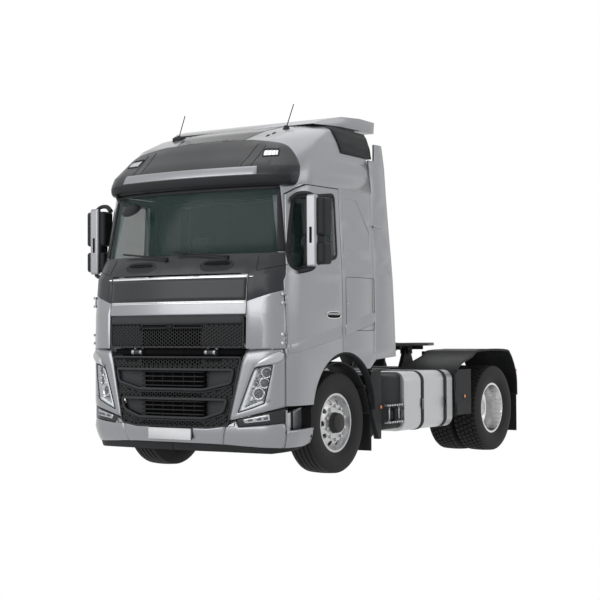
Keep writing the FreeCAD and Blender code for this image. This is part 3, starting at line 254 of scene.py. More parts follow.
# Woven cloth: product of two sines, with soft creases
def makeFabric(name, low, high, scale=620.0):
    shade = Shade(name, low, 0.88, Sheen_Weight=0.25, Specular_IOR_Level=0.2)
    x, y, z = (shade.axis(letter) for letter in "XYZ")
    weave = (scale * x).sine() * (scale * (y + z)).sine()
    shade.blend(0.5 * weave + 0.5, low, high)
    shade.bump(weave, 0.0006, 0.4)
    shade.bump(shade.noise(9.0, 3.0), 0.004, 0.2)
    return shade.material


# Checker plate: short bars where two crossed sines peak
def makeTread():
    shade = Shade("treadPlate", (0.13, 0.132, 0.135), 0.42, 0.85)
    x, y = shade.axis("X"), shade.axis("Y")
    bars = (((x + y) * 90.0).sine() * ((x - y) * 90.0).sine()).size().above(0.62, 0.2)
    shade.blend(bars, (0.1, 0.102, 0.105), (0.2, 0.2, 0.205))
    shade.bump(bars, 0.002, 0.8)
    return shade.material


# Tinted glass: see-through by its alpha, with a faintly uneven gloss
def makeGlass(name, tint, alpha):
    shade = Shade(name, tint, 0.03, 0.0, IOR=1.45, Alpha=alpha, Specular_IOR_Level=0.3)
    shade.rough(shade.noise(3.0, 3.0), 0.13, 0.17)
    return shade.material


# Lit lens: a fine cell relief over a faint glow
def makeGlow(name, colour, strength, roughness=0.2):
    shade = Shade(name, colour, roughness, 0.0, Coat_Weight=0.6, Emission_Strength=strength)
    shade.blend(shade.noise(8.0, 2.0), tuple(0.9 * c for c in colour), colour)
    shade.put("Emission Color", (*colour, 1.0))
    shade.bump(shade.cells(260.0), 0.0006, 0.4)
    return shade.material


shades = dict(
    paint=makePaint(),
    dark=makeDark(),
    plastic=makePlastic("blackPlastic", (0.012, 0.0125, 0.0135), (0.02, 0.021, 0.0225), 0.55, 700.0),
    grille=makePlastic("grillePlastic", (0.009, 0.0093, 0.01), (0.016, 0.0165, 0.018), 0.42, 500.0),
    # near-black: the colour of dark joints and black parts, and painted shade in slots, recesses, the grille backs
    # and the tilt gap
    void=makePlastic("blackAndPaintedShade", (0.002, 0.002, 0.002), (0.004, 0.004, 0.004), 0.9, 300.0),
    trim=makePlastic("greyTrim", (0.03, 0.031, 0.033), (0.045, 0.046, 0.048), 0.6, 480.0),
    dash=makePlastic("dashPlastic", (0.03, 0.032, 0.033), (0.05, 0.053, 0.054), 0.62, 520.0),
    lining=makePlastic("cabLining", (0.2, 0.21, 0.205), (0.26, 0.27, 0.265), 0.8, 300.0),
    rubber=makeRubber(),
    wheelSteel=makeSteel("wheelSilver", (0.5, 0.505, 0.51), (0.58, 0.58, 0.585), 0.36, 0.8),
    polished=makeSteel("polishedDish", (0.62, 0.62, 0.625), (0.7, 0.7, 0.7), 0.2, 1.0),
    bolts=makeSteel("boltSteel", (0.26, 0.26, 0.26), (0.36, 0.36, 0.36), 0.36, 0.9),
    chassis=makeSteel("chassisBlack", (0.01, 0.01, 0.011), (0.02, 0.02, 0.02), 0.5, 0.1),
    casting=makeSteel("castSteel", (0.018, 0.018, 0.019), (0.04, 0.038, 0.036), 0.6, 0.5, 180.0),
    chrome=makeSteel("brightTrim", (0.74, 0.745, 0.75), (0.8, 0.8, 0.805), 0.12, 1.0),
    satin=makeSteel("satinSilver", (0.4, 0.405, 0.415), (0.46, 0.465, 0.475), 0.3, 0.75),
    brushed=makeBrushed(),
    tread=makeTread(),
    plate=makePlastic("blankPlate", (0.68, 0.68, 0.685), (0.74, 0.74, 0.745), 0.45, 400.0),
    glass=makeGlass("cabGlass", (0.025, 0.055, 0.048), 0.36),
    clear=makeGlass("lampCover", (0.3, 0.32, 0.34), 0.16),
    smoked=makeGlass("smokedHatch", (0.012, 0.013, 0.015), 0.97),
    mirrorGlass=makeSteel("mirrorGlass", (0.5, 0.52, 0.54), (0.56, 0.58, 0.6), 0.1, 1.0),
    fabric=makeFabric("seatCloth", (0.05, 0.053, 0.057), (0.085, 0.09, 0.095)),
    mattress=makeFabric("bunkCloth", (0.2, 0.21, 0.215), (0.3, 0.31, 0.315), 420.0),
    curtain=makeFabric("curtainCloth", (0.11, 0.12, 0.125), (0.17, 0.18, 0.185), 520.0),
    daylight=makeGlow("daylightBar", (0.9, 0.93, 0.95), 0.3),
    reflector=makeSteel("lampReflector", (0.5, 0.51, 0.52), (0.64, 0.65, 0.66), 0.14, 1.0),
    lens=makeSteel("projectorLens", (0.05, 0.055, 0.06), (0.1, 0.105, 0.11), 0.1, 0.2),
    amber=makeGlow("amberLens", (0.75, 0.2, 0.008), 0.1),
    red=makeGlow("redLens", (0.4, 0.01, 0.01), 0.05),
)
print("materials done", len(shades))


# Point on a skin: s runs round the plan outline from the middle of the nose, over an arc of the
# nose radius, an arc of the corner radius and a straight side; lift moves it off the skin
def onSkin(table, s, z, lift=0.0):
    s, z = np.broadcast_arrays(np.asarray(s, float), np.asarray(z, float))
    sign, run = np.where(s < 0, -1.0, 1.0), np.abs(s)
    nose = np.interp(z, table["z"], table["nose"]) + axleY
    cx = np.interp(z, table["z"], table["half"]) - cornerRadius
    big = noseRadius - cornerRadius
    turn = np.arcsin(cx / big)
    first = noseRadius * turn
    second = first + cornerRadius * (math.pi / 2 - turn)
    front = run < first
    angle = np.where(front, run / noseRadius, np.clip(turn + (run - first) / cornerRadius, 0, math.pi / 2))
    radius = np.where(front, noseRadius, cornerRadius)
    ox = np.where(front, 0.0, cx)
    oy = np.where(front, nose + noseRadius, nose + noseRadius - big * np.cos(turn))
    x = ox + (radius + lift) * np.sin(angle)
    y = oy - (radius + lift) * np.cos(angle) + np.clip(run - second, 0, None)
    return np.stack([sign * x, y, z], -1)


# s of the place where the skin's left side stands at a station, from the same three stretches
def runOf(table, station, z):
    nose = np.interp(z, table["z"], table["nose"])
    cx = np.interp(z, table["z"], table["half"]) - cornerRadius
    big = noseRadius - cornerRadius
    turn = np.arcsin(cx / big)
    centre = nose + noseRadius - big * np.cos(turn)
    angle = np.arccos(np.clip((centre - station) / cornerRadius, 0, 1))
    corner = np.where(station < centre, angle, math.pi / 2) - turn
    return noseRadius * turn + cornerRadius * corner + np.clip(station - centre, 0, None)


# Cab's upper skin
def cabSkin(s, z, lift):
    return onSkin(cabTable, s, z, lift)


# Straight skin that the grilles, lamps and bumper follow
def lowSkin(s, z, lift):
    return onSkin(lowTable, s, z, lift)


# Roof cap's skin
def roofSkin(s, z, lift):
    return onSkin(roofTable, s, z, lift)


# Visor's skin
def visorSkin(s, z, lift):
    return onSkin(visorTable, s, z, lift)


# The cab's left side by station and height
def sideSkin(station, z, lift):
    return onSkin(cabTable, runOf(cabTable, station, z), z, lift)


# Object at the origin, from any grid of points and faces as rows of indices
def build(name, points, faces, material, smooth=True):
    mesh = bpy.data.meshes.new(name)
    mesh.from_pydata(np.asarray(points, float).reshape(-1, 3).tolist(), [], faces)
    mesh.update()
    if smooth:
        mesh.polygons.foreach_set("use_smooth", [True] * len(mesh.polygons))
    piece = bpy.data.objects.new(name, mesh)
    bpy.context.scene.collection.objects.link(piece)
    if material:
        mesh.materials.append(shades[material])
    return piece


# Faces turned to point outwards
def outward(piece):
    edit = bmesh.new()
    edit.from_mesh(piece.data)
    bmesh.ops.recalc_face_normals(edit, faces=edit.faces)
    edit.to_mesh(piece.data)
    edit.free()
    return piece


# Quads between neighbouring points of a grid, as rows of indices
def gridFaces(rows, columns, wrapRows=False, wrapColumns=False):
    i, j = np.meshgrid(np.arange(rows if wrapRows else rows - 1),
                       np.arange(columns if wrapColumns else columns - 1), indexing="ij")
    i, j = i.ravel(), j.ravel()
    below, beside = (i + 1) % rows, (j + 1) % columns
    return np.stack([i * columns + j, i * columns + beside, below * columns + beside,
                     below * columns + j], 1).tolist()


# Bevel on the edges that are sharper than the angle
def soften(piece, width=0.003, segments=2, angle=32):
    bevel = piece.modifiers.new("bevel", "BEVEL")
    bevel.width = width
    bevel.segments = segments
    bevel.limit_method = "ANGLE"
    bevel.angle_limit = math.radians(angle)
    bevel.harden_normals = True
    return piece


# Polyline cut into runs no longer than the step
def dense(points, step, closed=False):
    points = [np.asarray(p, float) for p in points]
    if closed:
        points = points + points[:1]
    runs = []
    for a, b in zip(points, points[1:]):
        count = max(1, math.ceil(np.linalg.norm(b - a) / step))
        runs.append(a + (b - a) * np.arange(count)[:, None] / count)
    if not closed:
        runs.append(points[-1][None])
    return np.concatenate(runs)


# Two outlines with as many points, each run of both split alike
def paired(first, second, step, closed=False):
    first, second = [np.asarray(p, float) for p in first], [np.asarray(p, float) for p in second]
    if closed:
        first, second = first + first[:1], second + second[:1]
    a, b = [], []
    for k in range(len(first) - 1):
        span = max(np.linalg.norm(first[k + 1] - first[k]), np.linalg.norm(second[k + 1] - second[k]))
        share = np.arange(max(1, math.ceil(span / step)))[:, None] / max(1, math.ceil(span / step))
        a.append(first[k] + (first[k + 1] - first[k]) * share)
        b.append(second[k] + (second[k + 1] - second[k]) * share)
    if not closed:
        a.append(first[-1][None])
        b.append(second[-1][None])
    return np.concatenate(a), np.concatenate(b)


# Slab between two outlines in the surface's own (s, z), from lift down to lift - depth; its
# middle is raised by crown (1 - (2 t - 1)^2), where t runs from one outline to the other
def ribbon(name, first, second, surface, material, lift, depth, step=0.04, rows=2, closed=False, crown=0.0):
    a, b = paired(first, second, step, closed)
    t = np.linspace(0.0, 1.0, rows + 1)[:, None]
    s = a[None, :, 0] * (1 - t) + b[None, :, 0] * t
    z = a[None, :, 1] * (1 - t) + b[None, :, 1] * t
    rise = lift + crown * (1 - (2 * t - 1) ** 2) + 0 * s
    loop = np.concatenate([surface(s, z, rise), surface(s, z, lift - depth + 0 * s)[::-1]], 0)
    size, count = loop.shape[:2]
    faces = gridFaces(size, count, True, closed)
    if not closed:
        faces.append([k * count for k in range(size)])
        faces.append([k * count + count - 1 for k in reversed(range(size))])
    return outward(build(name, loop, faces, material))


# Round bar: rings square to the path, each turned on from the one before
def tube(name, path, radius, material, sides=10, closed=False):
    path = np.asarray(path, float)
    radii = np.broadcast_to(np.asarray(radius, float), (len(path),))
    tangent = np.roll(path, -1, 0) - np.roll(path, 1, 0) if closed else np.gradient(path, axis=0)
    tangent /= np.linalg.norm(tangent, axis=1)[:, None]
    up = np.array([0.0, 0.0, 1.0]) if abs(tangent[0][2]) < 0.9 else np.array([1.0, 0.0, 0.0])
    turn = np.linspace(0, 2 * math.pi, sides, endpoint=False)[:, None]
    rings = []
    for p, d, r in zip(path, tangent, radii):
        side = np.cross(d, up)
        side /= np.linalg.norm(side)
        up = np.cross(side, d)
        rings.append(p + r * (np.cos(turn) * side + np.sin(turn) * up))
    faces = gridFaces(len(path), sides, closed, True)
    if not closed:
        faces.append(list(range(sides)))
        faces.append([(len(path) - 1) * sides + k for k in reversed(range(sides))])
    return outward(build(name, rings, faces, material))


# Smooth curve through the points: the cubic blend of four neighbours, on each run
def smoothPath(points, count=24):
    points = [np.asarray(p, float) for p in points]
    points = [2 * points[0] - points[1]] + points + [2 * points[-1] - points[-2]]
    t = np.linspace(0, 1, max(2, count // (len(points) - 3)), endpoint=False)[:, None]
    runs = []
    for k in range(1, len(points) - 2):
        p0, p1, p2, p3 = points[k - 1:k + 3]
        runs.append(0.5 * (2 * p1 + (p2 - p0) * t + (2 * p0 - 5 * p1 + 4 * p2 - p3) * t ** 2
                           + (3 * p1 - p0 - 3 * p2 + p3) * t ** 3))
    runs.append(points[-2][None])
    return np.concatenate(runs)


# Profile of (along, radius) pairs turned about an axis through the centre; ripple(along, turn)
# adds to the radius
def turned(name, profile, centre, material, steps=64, axis="X", ripple=None):
    turn = np.linspace(0, 2 * math.pi, steps, endpoint=False)
    along = np.array([p[0] for p in profile])[:, None] + 0 * turn
    radius = np.array([p[1] for p in profile])[:, None] + 0 * turn
    if ripple is not None:
        radius = radius + ripple(along, turn[None, :] + 0 * along)
    ring = dict(X=(along, radius * np.cos(turn), radius * np.sin(turn)),
                Y=(radius * np.cos(turn), along, radius * np.sin(turn)),
                Z=(radius * np.cos(turn), radius * np.sin(turn), along))[axis]
    faces = gridFaces(len(profile), steps, False, True)
    if profile[0][1] > 1e-6:
        faces.append(list(range(steps)))
    if profile[-1][1] > 1e-6:
        faces.append([(len(profile) - 1) * steps + k for k in reversed(range(steps))])
    return outward(build(name, np.stack(ring, -1) + np.asarray(centre, float), faces, material))


# Rounded block between two corners
def boxPiece(name, low, high, material, bevel=0.004, segments=3):
    low, high = np.minimum(low, high), np.maximum(low, high)
    corners = [(x, y, z) for x in (low[0], high[0]) for y in (low[1], high[1]) for z in (low[2], high[2])]
    faces = [(0, 1, 3, 2), (4, 6, 7, 5), (0, 4, 5, 1), (2, 3, 7, 6), (0, 2, 6, 4), (1, 5, 7, 3)]
    piece = build(name, corners, faces, material)
    if bevel:
        soften(piece, bevel, segments)
    return piece


# One object from several, so that like details share a name
def joined(name, pieces):
    graph = bpy.context.evaluated_depsgraph_get()
    edit = bmesh.new()
    slots = []
    for piece in pieces:
        mesh = bpy.data.meshes.new_from_object(piece.evaluated_get(graph))
        for slot in mesh.materials:
            if slot not in slots:
                slots.append(slot)
        shift = [slots.index(slot) for slot in mesh.materials]
        for polygon in mesh.polygons:
            polygon.material_index = shift[polygon.material_index] if shift else 0
        edit.from_mesh(mesh)
        bpy.data.meshes.remove(mesh)
    for piece in pieces:
        bpy.data.objects.remove(piece)
    mesh = bpy.data.meshes.new(name)
    edit.to_mesh(mesh)
    edit.free()
    for slot in slots:
        mesh.materials.append(slot)
    whole = bpy.data.objects.new(name, mesh)
    bpy.context.scene.collection.objects.link(whole)
    return whole


# The piece's mirror image on the truck's other side
def mirrorCopy(piece, name):
    mesh = piece.data.copy()
    mesh.transform(Matrix.Diagonal((-1, 1, 1, 1)))
    mesh.flip_normals()
    twin = bpy.data.objects.new(name, mesh)
    bpy.context.scene.collection.objects.link(twin)
    for source in piece.modifiers:
        copy = twin.modifiers.new(source.name, source.type)
        for key in ("width", "segments", "limit_method", "angle_limit", "harden_normals", "levels",
                    "render_levels"):
            if hasattr(source, key):
                setattr(copy, key, getattr(source, key))
    return twin


# The piece moves with a body
def rideAs(piece, body):
    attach(piece, body)
    return piece


# Rides a left piece and its mirror image on a body, or on the left and right bodies of that name
def both(piece, base, body):
    twin = mirrorCopy(piece, base + "Right")
    piece.name = base + "Left"
    for item, word in ((piece, "left"), (twin, "right")):
        rideAs(item, body.format(word))
    return piece, twin


# Camera that looks at a point on the truck's middle plane, moved across the view
camera = dict(azimuth=33.397, elevation=-1.349, roll=-0.284, distance=15.154, across=0.5951, height=1.7541,
              lensShare=1447.05 / 600.0, sensor=36.0)


# Camera matrix: back from the target by the distance, then rolled about the line of sight
def aim():
    az, el, tilt = (math.radians(camera[key]) for key in ("azimuth", "elevation", "roll"))
    back = Vector((math.sin(az) * math.cos(el), -math.cos(az) * math.cos(el), math.sin(el)))
    right = Vector((math.cos(az), math.sin(az), 0.0))
    up = back.cross(right)
    target = right * camera["across"] + Vector((0, axleY, camera["height"]))
    c, s = math.cos(tilt), math.sin(tilt)
    right, up = right * c + up * s, up * c - right * s
    matrix = Matrix((right, up, back)).transposed().to_4x4()
    matrix.translation = target + back * camera["distance"]
    return matrix


eye = bpy.data.objects.new("camera", bpy.data.cameras.new("camera"))
bpy.context.scene.collection.objects.link(eye)
eye.matrix_world = aim()
eye.data.sensor_width = camera["sensor"]
eye.data.lens = camera["lensShare"] * camera["sensor"]
eye.data.clip_end = 400.0
bpy.context.scene.camera = eye

# Area lamps: place, what it looks at, width and height, watts
lamps = dict(
    frontLamp=((-3.0, -13.0, 6.5), (0.0, -2.0, 1.6), (13.0, 9.0), 900.0),
    sideLamp=((12.0, 1.0, 6.0), (0.0, 0.0, 1.4), (9.0, 6.0), 200.0),
    topLamp=((0.0, 0.0, 10.0), (0.0, 0.0, 0.0), (9.0, 12.0), 250.0),
)
for name, (spot, look, size, power) in lamps.items():
    light = bpy.data.lights.new(name, "AREA")
    light.shape = "RECTANGLE"
    light.size, light.size_y = size
    light.energy = power
    item = bpy.data.objects.new(name, light)
    turn = (Vector(spot) - Vector(look)).to_track_quat("Z", "Y").to_matrix().to_4x4()
    item.matrix_world = Matrix.Translation(spot) @ turn
    bpy.context.scene.collection.objects.link(item)

bpy.context.scene.view_settings.view_transform = "Standard"

# White for the camera and in reflections, a softer cool light for what bounces
studio = dict(white=1.0, ambient=0.42, tint=(0.93, 0.95, 1.0), floorNear=1.0, nearEdge=6.0, farEdge=16.0,
              floorRadius=120.0, floorDrop=0.0005)


# Sky: the white where the camera sees it, the ambient tint where light bounces
def makeWorld():
    world = bpy.data.worlds.new("studio")
    bpy.context.scene.world = world
    world.use_nodes = True
    world.node_tree.nodes.clear()
    tree = Tree(world.node_tree)
    seen = tree.node("Background", {}, {0: (1, 1, 1, 1), 1: studio["white"]})
    bounced = tree.node("Background", {}, {0: (*studio["tint"], 1), 1: studio["ambient"]})
    surface = tree.node("MixShader", {}, {0: tree.cameraSees(), 1: bounced, 2: seen})
    tree.node("OutputWorld", {}, {0: surface})


# Floor: matt for light that bounces, while the camera sees a glow whose share runs from
# floorNear beside the truck to 1 far off, so that no horizon shows
def makeFloor():
    shade = Shade("floorWhite", (0.8, 0.8, 0.8), 0.9, Specular_IOR_Level=0.0)
    shade.rough(shade.noise(2.0, 2.0), 0.86, 0.94)
    x, y = shade.axis("X"), shade.axis("Y")
    near, far = studio["nearEdge"], studio["farEdge"]
    away = (x * x + y * y).above((near ** 2 + far ** 2) / 2, far ** 2 - near ** 2)
    glow = shade.node("Emission", {}, {0: (1, 1, 1, 1), 1: 1.0})
    share = shade.cameraSees() * (studio["floorNear"] + (1.0 - studio["floorNear"]) * away)
    matt = Value(shade, shade.shader.outputs[0])
    surface = shade.node("MixShader", {}, {0: share, 1: matt, 2: glow})
    shade.feed(shade.nodeTree.nodes["Material Output"].inputs[0], surface)
    return shade.material


makeWorld()
shades["floor"] = makeFloor()
ring = np.linspace(0, 2 * math.pi, 96, endpoint=False)
reach = studio["floorRadius"]
floorRim = np.stack([reach * np.cos(ring), reach * np.sin(ring), 0 * ring - studio["floorDrop"]], 1)
build("floor", floorRim, [list(range(len(ring)))], "floor")
print("camera, light and floor done")

# What each solid is made of
solidShades = dict(
    paint=("bumper", "headlamps", "entry_steps", "cab_front", "cab_side_walls", "cab_back_wall", "front_lid",
           "roof_cap", "roof_spoiler", "side_deflectors", "door_left", "door_right"),
    dark=("cowl", "visor"),
    lining=("cab_floor",),
    plastic=("mirror_left", "mirror_right", "roof_vents", "aerials", "wipers", "battery_box", "air_tank_box",
             "front_mudguards", "rear_wings", "tank_straps"),
    grille=("lower_grille", "upper_grille"),
    smoked=("roof_hatch",),
    rubber=("front_tyre_left", "front_tyre_right", "rear_tyres_left", "rear_tyres_right"),
    wheelSteel=("front_rim_left", "front_rim_right"),
    polished=("rear_rims_left", "rear_rims_right"),
    chassis=("frame_rails", "cross_members", "front_axle_beam", "front_springs", "rear_suspension",
             "cab_mounts", "coupling_base", "coupling_plate"),
    casting=("knuckle_left", "knuckle_right", "tie_rod", "rear_axle", "engine_block"),
    brushed=("fuel_tank", "silencer_box"),
    tread=("walkway",),
    plate=("number_plate",),
    glass=("windscreen", "door_glass_left", "door_glass_right"),
    fabric=("seats",),
    mattress=("bunk",),
    dash=("dashboard",),
    red=("tail_lamps",),
)
for shadeName, names in solidShades.items():
    for name in names:
        solid = nodes[name]
        solid.data.materials.clear()
        solid.data.materials.append(shades[shadeName])
        solid.data.polygons.foreach_set("use_smooth", [True] * len(solid.data.polygons))
        weld = solid.modifiers.new("weld", "WELD")
        weld.merge_threshold = 0.00002
        soften(solid, 0.0025, 2, 35)
        solid.modifiers["bevel"].use_clamp_overlap = True
print("solids dressed")

# True where a point lies in a closed outline, by counting the edges that it is left of
def inside(outline, s, z):
    hit = False
    for (x1, y1), (x2, y2) in zip(outline, outline[1:] + outline[:1]):
        if (y1 > z) != (y2 > z) and s < (x2 - x1) * (z - y1) / (y2 - y1) + x1:
            hit = not hit
    return hit


# Closed outline from its left half, listed from the top down
def mirrorOutline(half):
    return list(half) + [(-s, z) for s, z in reversed(half)]


# Flat-topped hexagons of width by height, each a rim, a bevel and a wall down to depth; a floor
# closes them as scales that lean back at their top
def honeycomb(name, cells, width, height, wall, surface, lift, depth, material, floor=None):
    cells = np.array(cells)[:, None, :]
    corner = np.array([(-0.5, 0.0), (-0.25, -0.5), (0.25, -0.5), (0.5, 0.0), (0.25, 0.5), (-0.25, 0.5)])[None]
    rim = cells + corner * (width, height)
    hole = cells + corner * (width - 2 * wall, height - 1.6 * wall)
    foot = hole if floor is None else cells + (hole - cells) * 0.8
    drop = depth if floor is None else floor * (0.35 + 0.65 * (hole[..., 1] > cells[..., 1]))
    places = np.stack([rim, hole, foot], 1)
    lifts = np.stack([0 * rim[..., 0], 0 * rim[..., 0] - 0.001, -drop + 0 * rim[..., 0]], 1) + lift
    start = 18 * np.arange(len(cells))[:, None, None]
    k = np.arange(6)[None, :, None]
    quads = [start + k + row + np.array([[[0, 0, 6, 6]]]) + np.array([[[0, 1, 1, 0]]]) for row in (0, 6)]
    for quad, row in zip(quads, (0, 6)):
        quad[:, 5, 1] = start[:, 0, 0] + row
        quad[:, 5, 2] = start[:, 0, 0] + row + 6
    faces = np.concatenate([quad.reshape(-1, 4) for quad in quads]).tolist()
    if floor is not None:
        faces += (start[:, :, 0] + 12 + np.arange(6)).tolist()
    points = surface(places[..., 0], places[..., 1], lifts)
    return outward(build(name, points, faces, material, smooth=False))


# Centres of a honeycomb: rows half a height apart, every other one moved by 0.75 of a width
def lattice(width, height, low, high, wide, keep):
    row, column = np.meshgrid(np.arange(int((high - low) / (height / 2)) + 1),
                              np.arange(-int(wide / (1.5 * width)) - 2, int(wide / (1.5 * width)) + 3))
    s = (column * 1.5 + 0.75 * (row % 2)) * width
    z = low + row * height / 2
    return [(a, b) for a, b in zip(s.ravel(), z.ravel()) if keep(a, b)]


# Skin panel on grid lines, with the squares that keep() drops left open
def panelGrid(name, sLines, zLines, keep, surface, lift, material):
    sLines, zLines = np.array(sorted(set(sLines))), np.array(sorted(set(zLines)))
    s, z = np.meshgrid(sLines, zLines)
    quads = np.array(gridFaces(len(zLines), len(sLines))).reshape(len(zLines) - 1, len(sLines) - 1, 4)
    sMiddle, zMiddle = (sLines[1:] + sLines[:-1]) / 2, (zLines[1:] + zLines[:-1]) / 2
    kept = np.array([[bool(keep(a, b)) for a in sMiddle] for b in zMiddle])
    piece = build(name, surface(s, z, lift + 0 * s), quads[kept].tolist(), material, smooth=False)
    wall = piece.modifiers.new("wall", "SOLIDIFY")
    wall.thickness = 0.006
    return piece


# Even grid lines from low to high, about a step apart
def lines(low, high, step):
    return list(np.linspace(low, high, max(2, int(round((high - low) / step)) + 1)))


# Round bar that follows an outline on a skin
def frameBar(name, outline, radius, surface, lift, material, closed=True, sides=10):
    path = dense([np.array(p) for p in outline], 0.03, closed)
    return tube(name, surface(path[:, 0], path[:, 1], lift + 0 * path[:, 0]), radius, material, sides, closed)


# Closed outline with each corner cut by a quadratic curve
def roundedOutline(outline, radius, steps=4):
    points = [np.array(p, float) for p in outline]
    t = np.linspace(0, 1, steps + 1)[:, None]
    runs = []
    for k, corner in enumerate(points):
        before, after = points[k - 1] - corner, points[(k + 1) % len(points)] - corner
        a = corner + before / np.linalg.norm(before) * min(radius, np.linalg.norm(before) * 0.45)
        b = corner + after / np.linalg.norm(after) * min(radius, np.linalg.norm(after) * 0.45)
        runs.append((1 - t) ** 2 * a + 2 * t * (1 - t) * corner + t * t * b)
    return [tuple(p) for p in np.concatenate(runs)]


# Closed outline drawn in by an amount on each side, along its corners' middle lines
def shrunk(outline, amount):
    points = np.array(outline, float)
    ahead, behind = np.roll(points, -1, 0), np.roll(points, 1, 0)
    area = np.sum(points[:, 0] * ahead[:, 1] - ahead[:, 0] * points[:, 1])
    normals = []
    for run in (points - behind, ahead - points):
        normals.append(np.stack([-run[:, 1], run[:, 0]], 1) / (np.linalg.norm(run, axis=1)[:, None] + 1e-9))
    middle = sum(normals) * np.sign(area)
    middle /= np.maximum(np.sum(middle * middle, 1)[:, None] / 2, 0.5)
    return [tuple(p) for p in points + middle * amount]


# Outlines, bands, slots and openings are (s, z) on the cab's skin; cell is width, height, wall
upperGrille = dict(outline=mirrorOutline([(0.8, 1.586), (0.832, 1.555), (0.832, 1.268)]),
                   panel=(0.828, 1.272, 1.503), grid=0.046, band=(1.503, 1.58), bandHalf=0.826,
                   slots=(0.04, 0.37, 1.464, 1.499), slotMargin=(0.02, 0.016), open=(0.37, 1.29, 1.455),
                   cell=(0.036, 0.034, 0.0045), lattice=(1.283, 1.492, 0.82), cellArea=(0.812, 1.284, 1.494),
                   scaleDepth=0.011, back=(0.8, 1.28, 1.5))


# Upper grille: backing panel, top band, honeycomb, edge bar and the two slots' rims and bars
def makeUpperGrille(spec):
    left, right, low, high = spec["slots"]
    half, openLow, openHigh = spec["open"]
    aside, under = spec["slotMargin"]
    cellHalf, cellLow, cellHigh = spec["cellArea"]

    def isSlot(s, z):
        return left < abs(s) < right and low < z < high

    def isOpen(s, z):
        return abs(s) < half and openLow < z < openHigh

    def isCell(s, z):
        beside = left - aside < abs(s) < right + aside and z > low - under
        return abs(s) < cellHalf and cellLow < z < cellHigh and not beside

    wide, foot, head = spec["panel"]
    sLines = lines(-wide, wide, spec["grid"]) + [-right, -left, left, right, -half, half]
    zLines = lines(foot, head, spec["grid"]) + [low, high, openLow, openHigh]
    parts = [panelGrid("panel", sLines, zLines, lambda s, z: not isSlot(s, z) and not isOpen(s, z),
                       cabSkin, -0.014, "grille")]
    wide = spec["bandHalf"]
    band, top = ([(-wide, z), (wide, z)] for z in spec["band"])
    parts.append(ribbon("band", band, top, cabSkin, "trim", 0.002, 0.03, 0.05, 4, crown=0.003))
    width, height, wall = spec["cell"]
    cells = lattice(width, height, *spec["lattice"], isCell)
    parts.append(honeycomb("open", [c for c in cells if isOpen(*c)], width, height, wall, cabSkin, 0.0, 0.02,
                           "grille"))
    parts.append(honeycomb("scales", [c for c in cells if not isOpen(*c)], width, height, wall, cabSkin, 0.0,
                           0.02, "grille", spec["scaleDepth"]))
    parts.append(frameBar("edge", roundedOutline(shrunk(spec["outline"], 0.008), 0.03), 0.0075, cabSkin,
                          -0.002, "trim"))
    for s0, s1 in ((-right, -left), (left, right)):
        rim = [(s0, low), (s1, low), (s1, high), (s0, high)]
        parts.append(frameBar("slotEdge", rim, 0.004, cabSkin, -0.004, "trim"))
        middle = [(s0, 0.5 * (low + high)), (s1, 0.5 * (low + high))]
        parts.append(frameBar("slotBar", middle, 0.003, cabSkin, -0.012, "grille", False))
    # near-black board behind the honeycomb: partly the radiator's own black, partly painted shade inside the grille
    wide, foot, head = spec["back"]
    parts.append(ribbon("back", [(-wide, foot), (wide, foot)], [(-wide, head), (wide, head)], cabSkin, "void",
                        -0.036, 0.002, 0.08))
    return joined("upperGrille", parts)


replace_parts(rideAs(makeUpperGrille(upperGrille), "front_lid"), "upper_grille")

lowerGrille = dict(
    outline=mirrorOutline([(0.8, 1.187), (0.802, 1.14), (0.69, 0.64), (0.664, 0.522), (0.44, 0.492)]),
    intakes=(mirrorOutline([(0.722, 1.06), (0.692, 0.935), (0.4, 0.868)]),
             mirrorOutline([(0.65, 0.774), (0.61, 0.66), (0.4, 0.592)])),
    bars=((1.035, 0.99, 0.943, 0.9), (0.748, 0.706, 0.664, 0.624)),
    openings=((0.385, 1.105, 1.168), (0.385, 0.795, 0.842), (0.385, 0.535, 0.572)),
    centre=0.387, ribs=(0.0, 0.13, 0.26), panel=(0.8, 0.492, 1.187), grid=(0.025, 0.0125),
    cell=(0.04, 0.037, 0.0048), lattice=(0.5, 1.18, 0.8), margin=0.03, scaleDepth=0.012,
    notch=((0.42, 0.58, 1.148), (0.405, 0.595, 1.182)), notchArea=(0.4, 0.6, 1.14),
    back=((0.64, 0.51), (0.76, 1.235)))


# Skin that dishes in towards the middle, by 0.05 where s falls from 0.7 to 0.4
def cheekSkin(s, z, lift):
    return lowSkin(s, z, lift - 0.022 - 0.05 * np.clip((0.7 - np.abs(s)) / 0.3, 0, 1))


# One framed intake: rim, fold under it, slanted cheeks, louvres and upright ribs
def makeIntake(spec, outline, bars):
    limit = spec["centre"]
    corners = outline[:3]
    parts = [frameBar("frame", roundedOutline(outline, 0.03), 0.013, lowSkin, 0.004, "trim", sides=12)]
    under = [(s * 1.012, z - 0.026) for s, z in outline[1:5]]
    parts.append(frameBar("fold", under, 0.006, lowSkin, -0.006, "trim", False))
    for side in (-1, 1):
        top, low = corners[0][1], corners[2][1]
        first = [(side * limit, z) for z in (top, 0.5 * (top + low), low)]
        parts.append(ribbon("cheek", first, [(side * s, z) for s, z in corners], cheekSkin, "trim", 0.0, 0.004,
                            0.03, 6))
    for z in bars:
        top, low = ([(-limit, z + dz), (limit, z + dz)] for dz in (0.008, -0.006))
        parts.append(ribbon("louvre", low, top, lowSkin, "grille", -0.02, 0.05, 0.06, 2, crown=0.004))
    for s in sorted({side * rib for rib in spec["ribs"] for side in (-1, 1)}):
        low, top = ([(s - 0.004, z), (s + 0.004, z)] for z in (bars[-1] - 0.02, bars[0] + 0.02))
        parts.append(ribbon("rib", low, top, lowSkin, "grille", -0.045, 0.01, 0.03))
    return parts


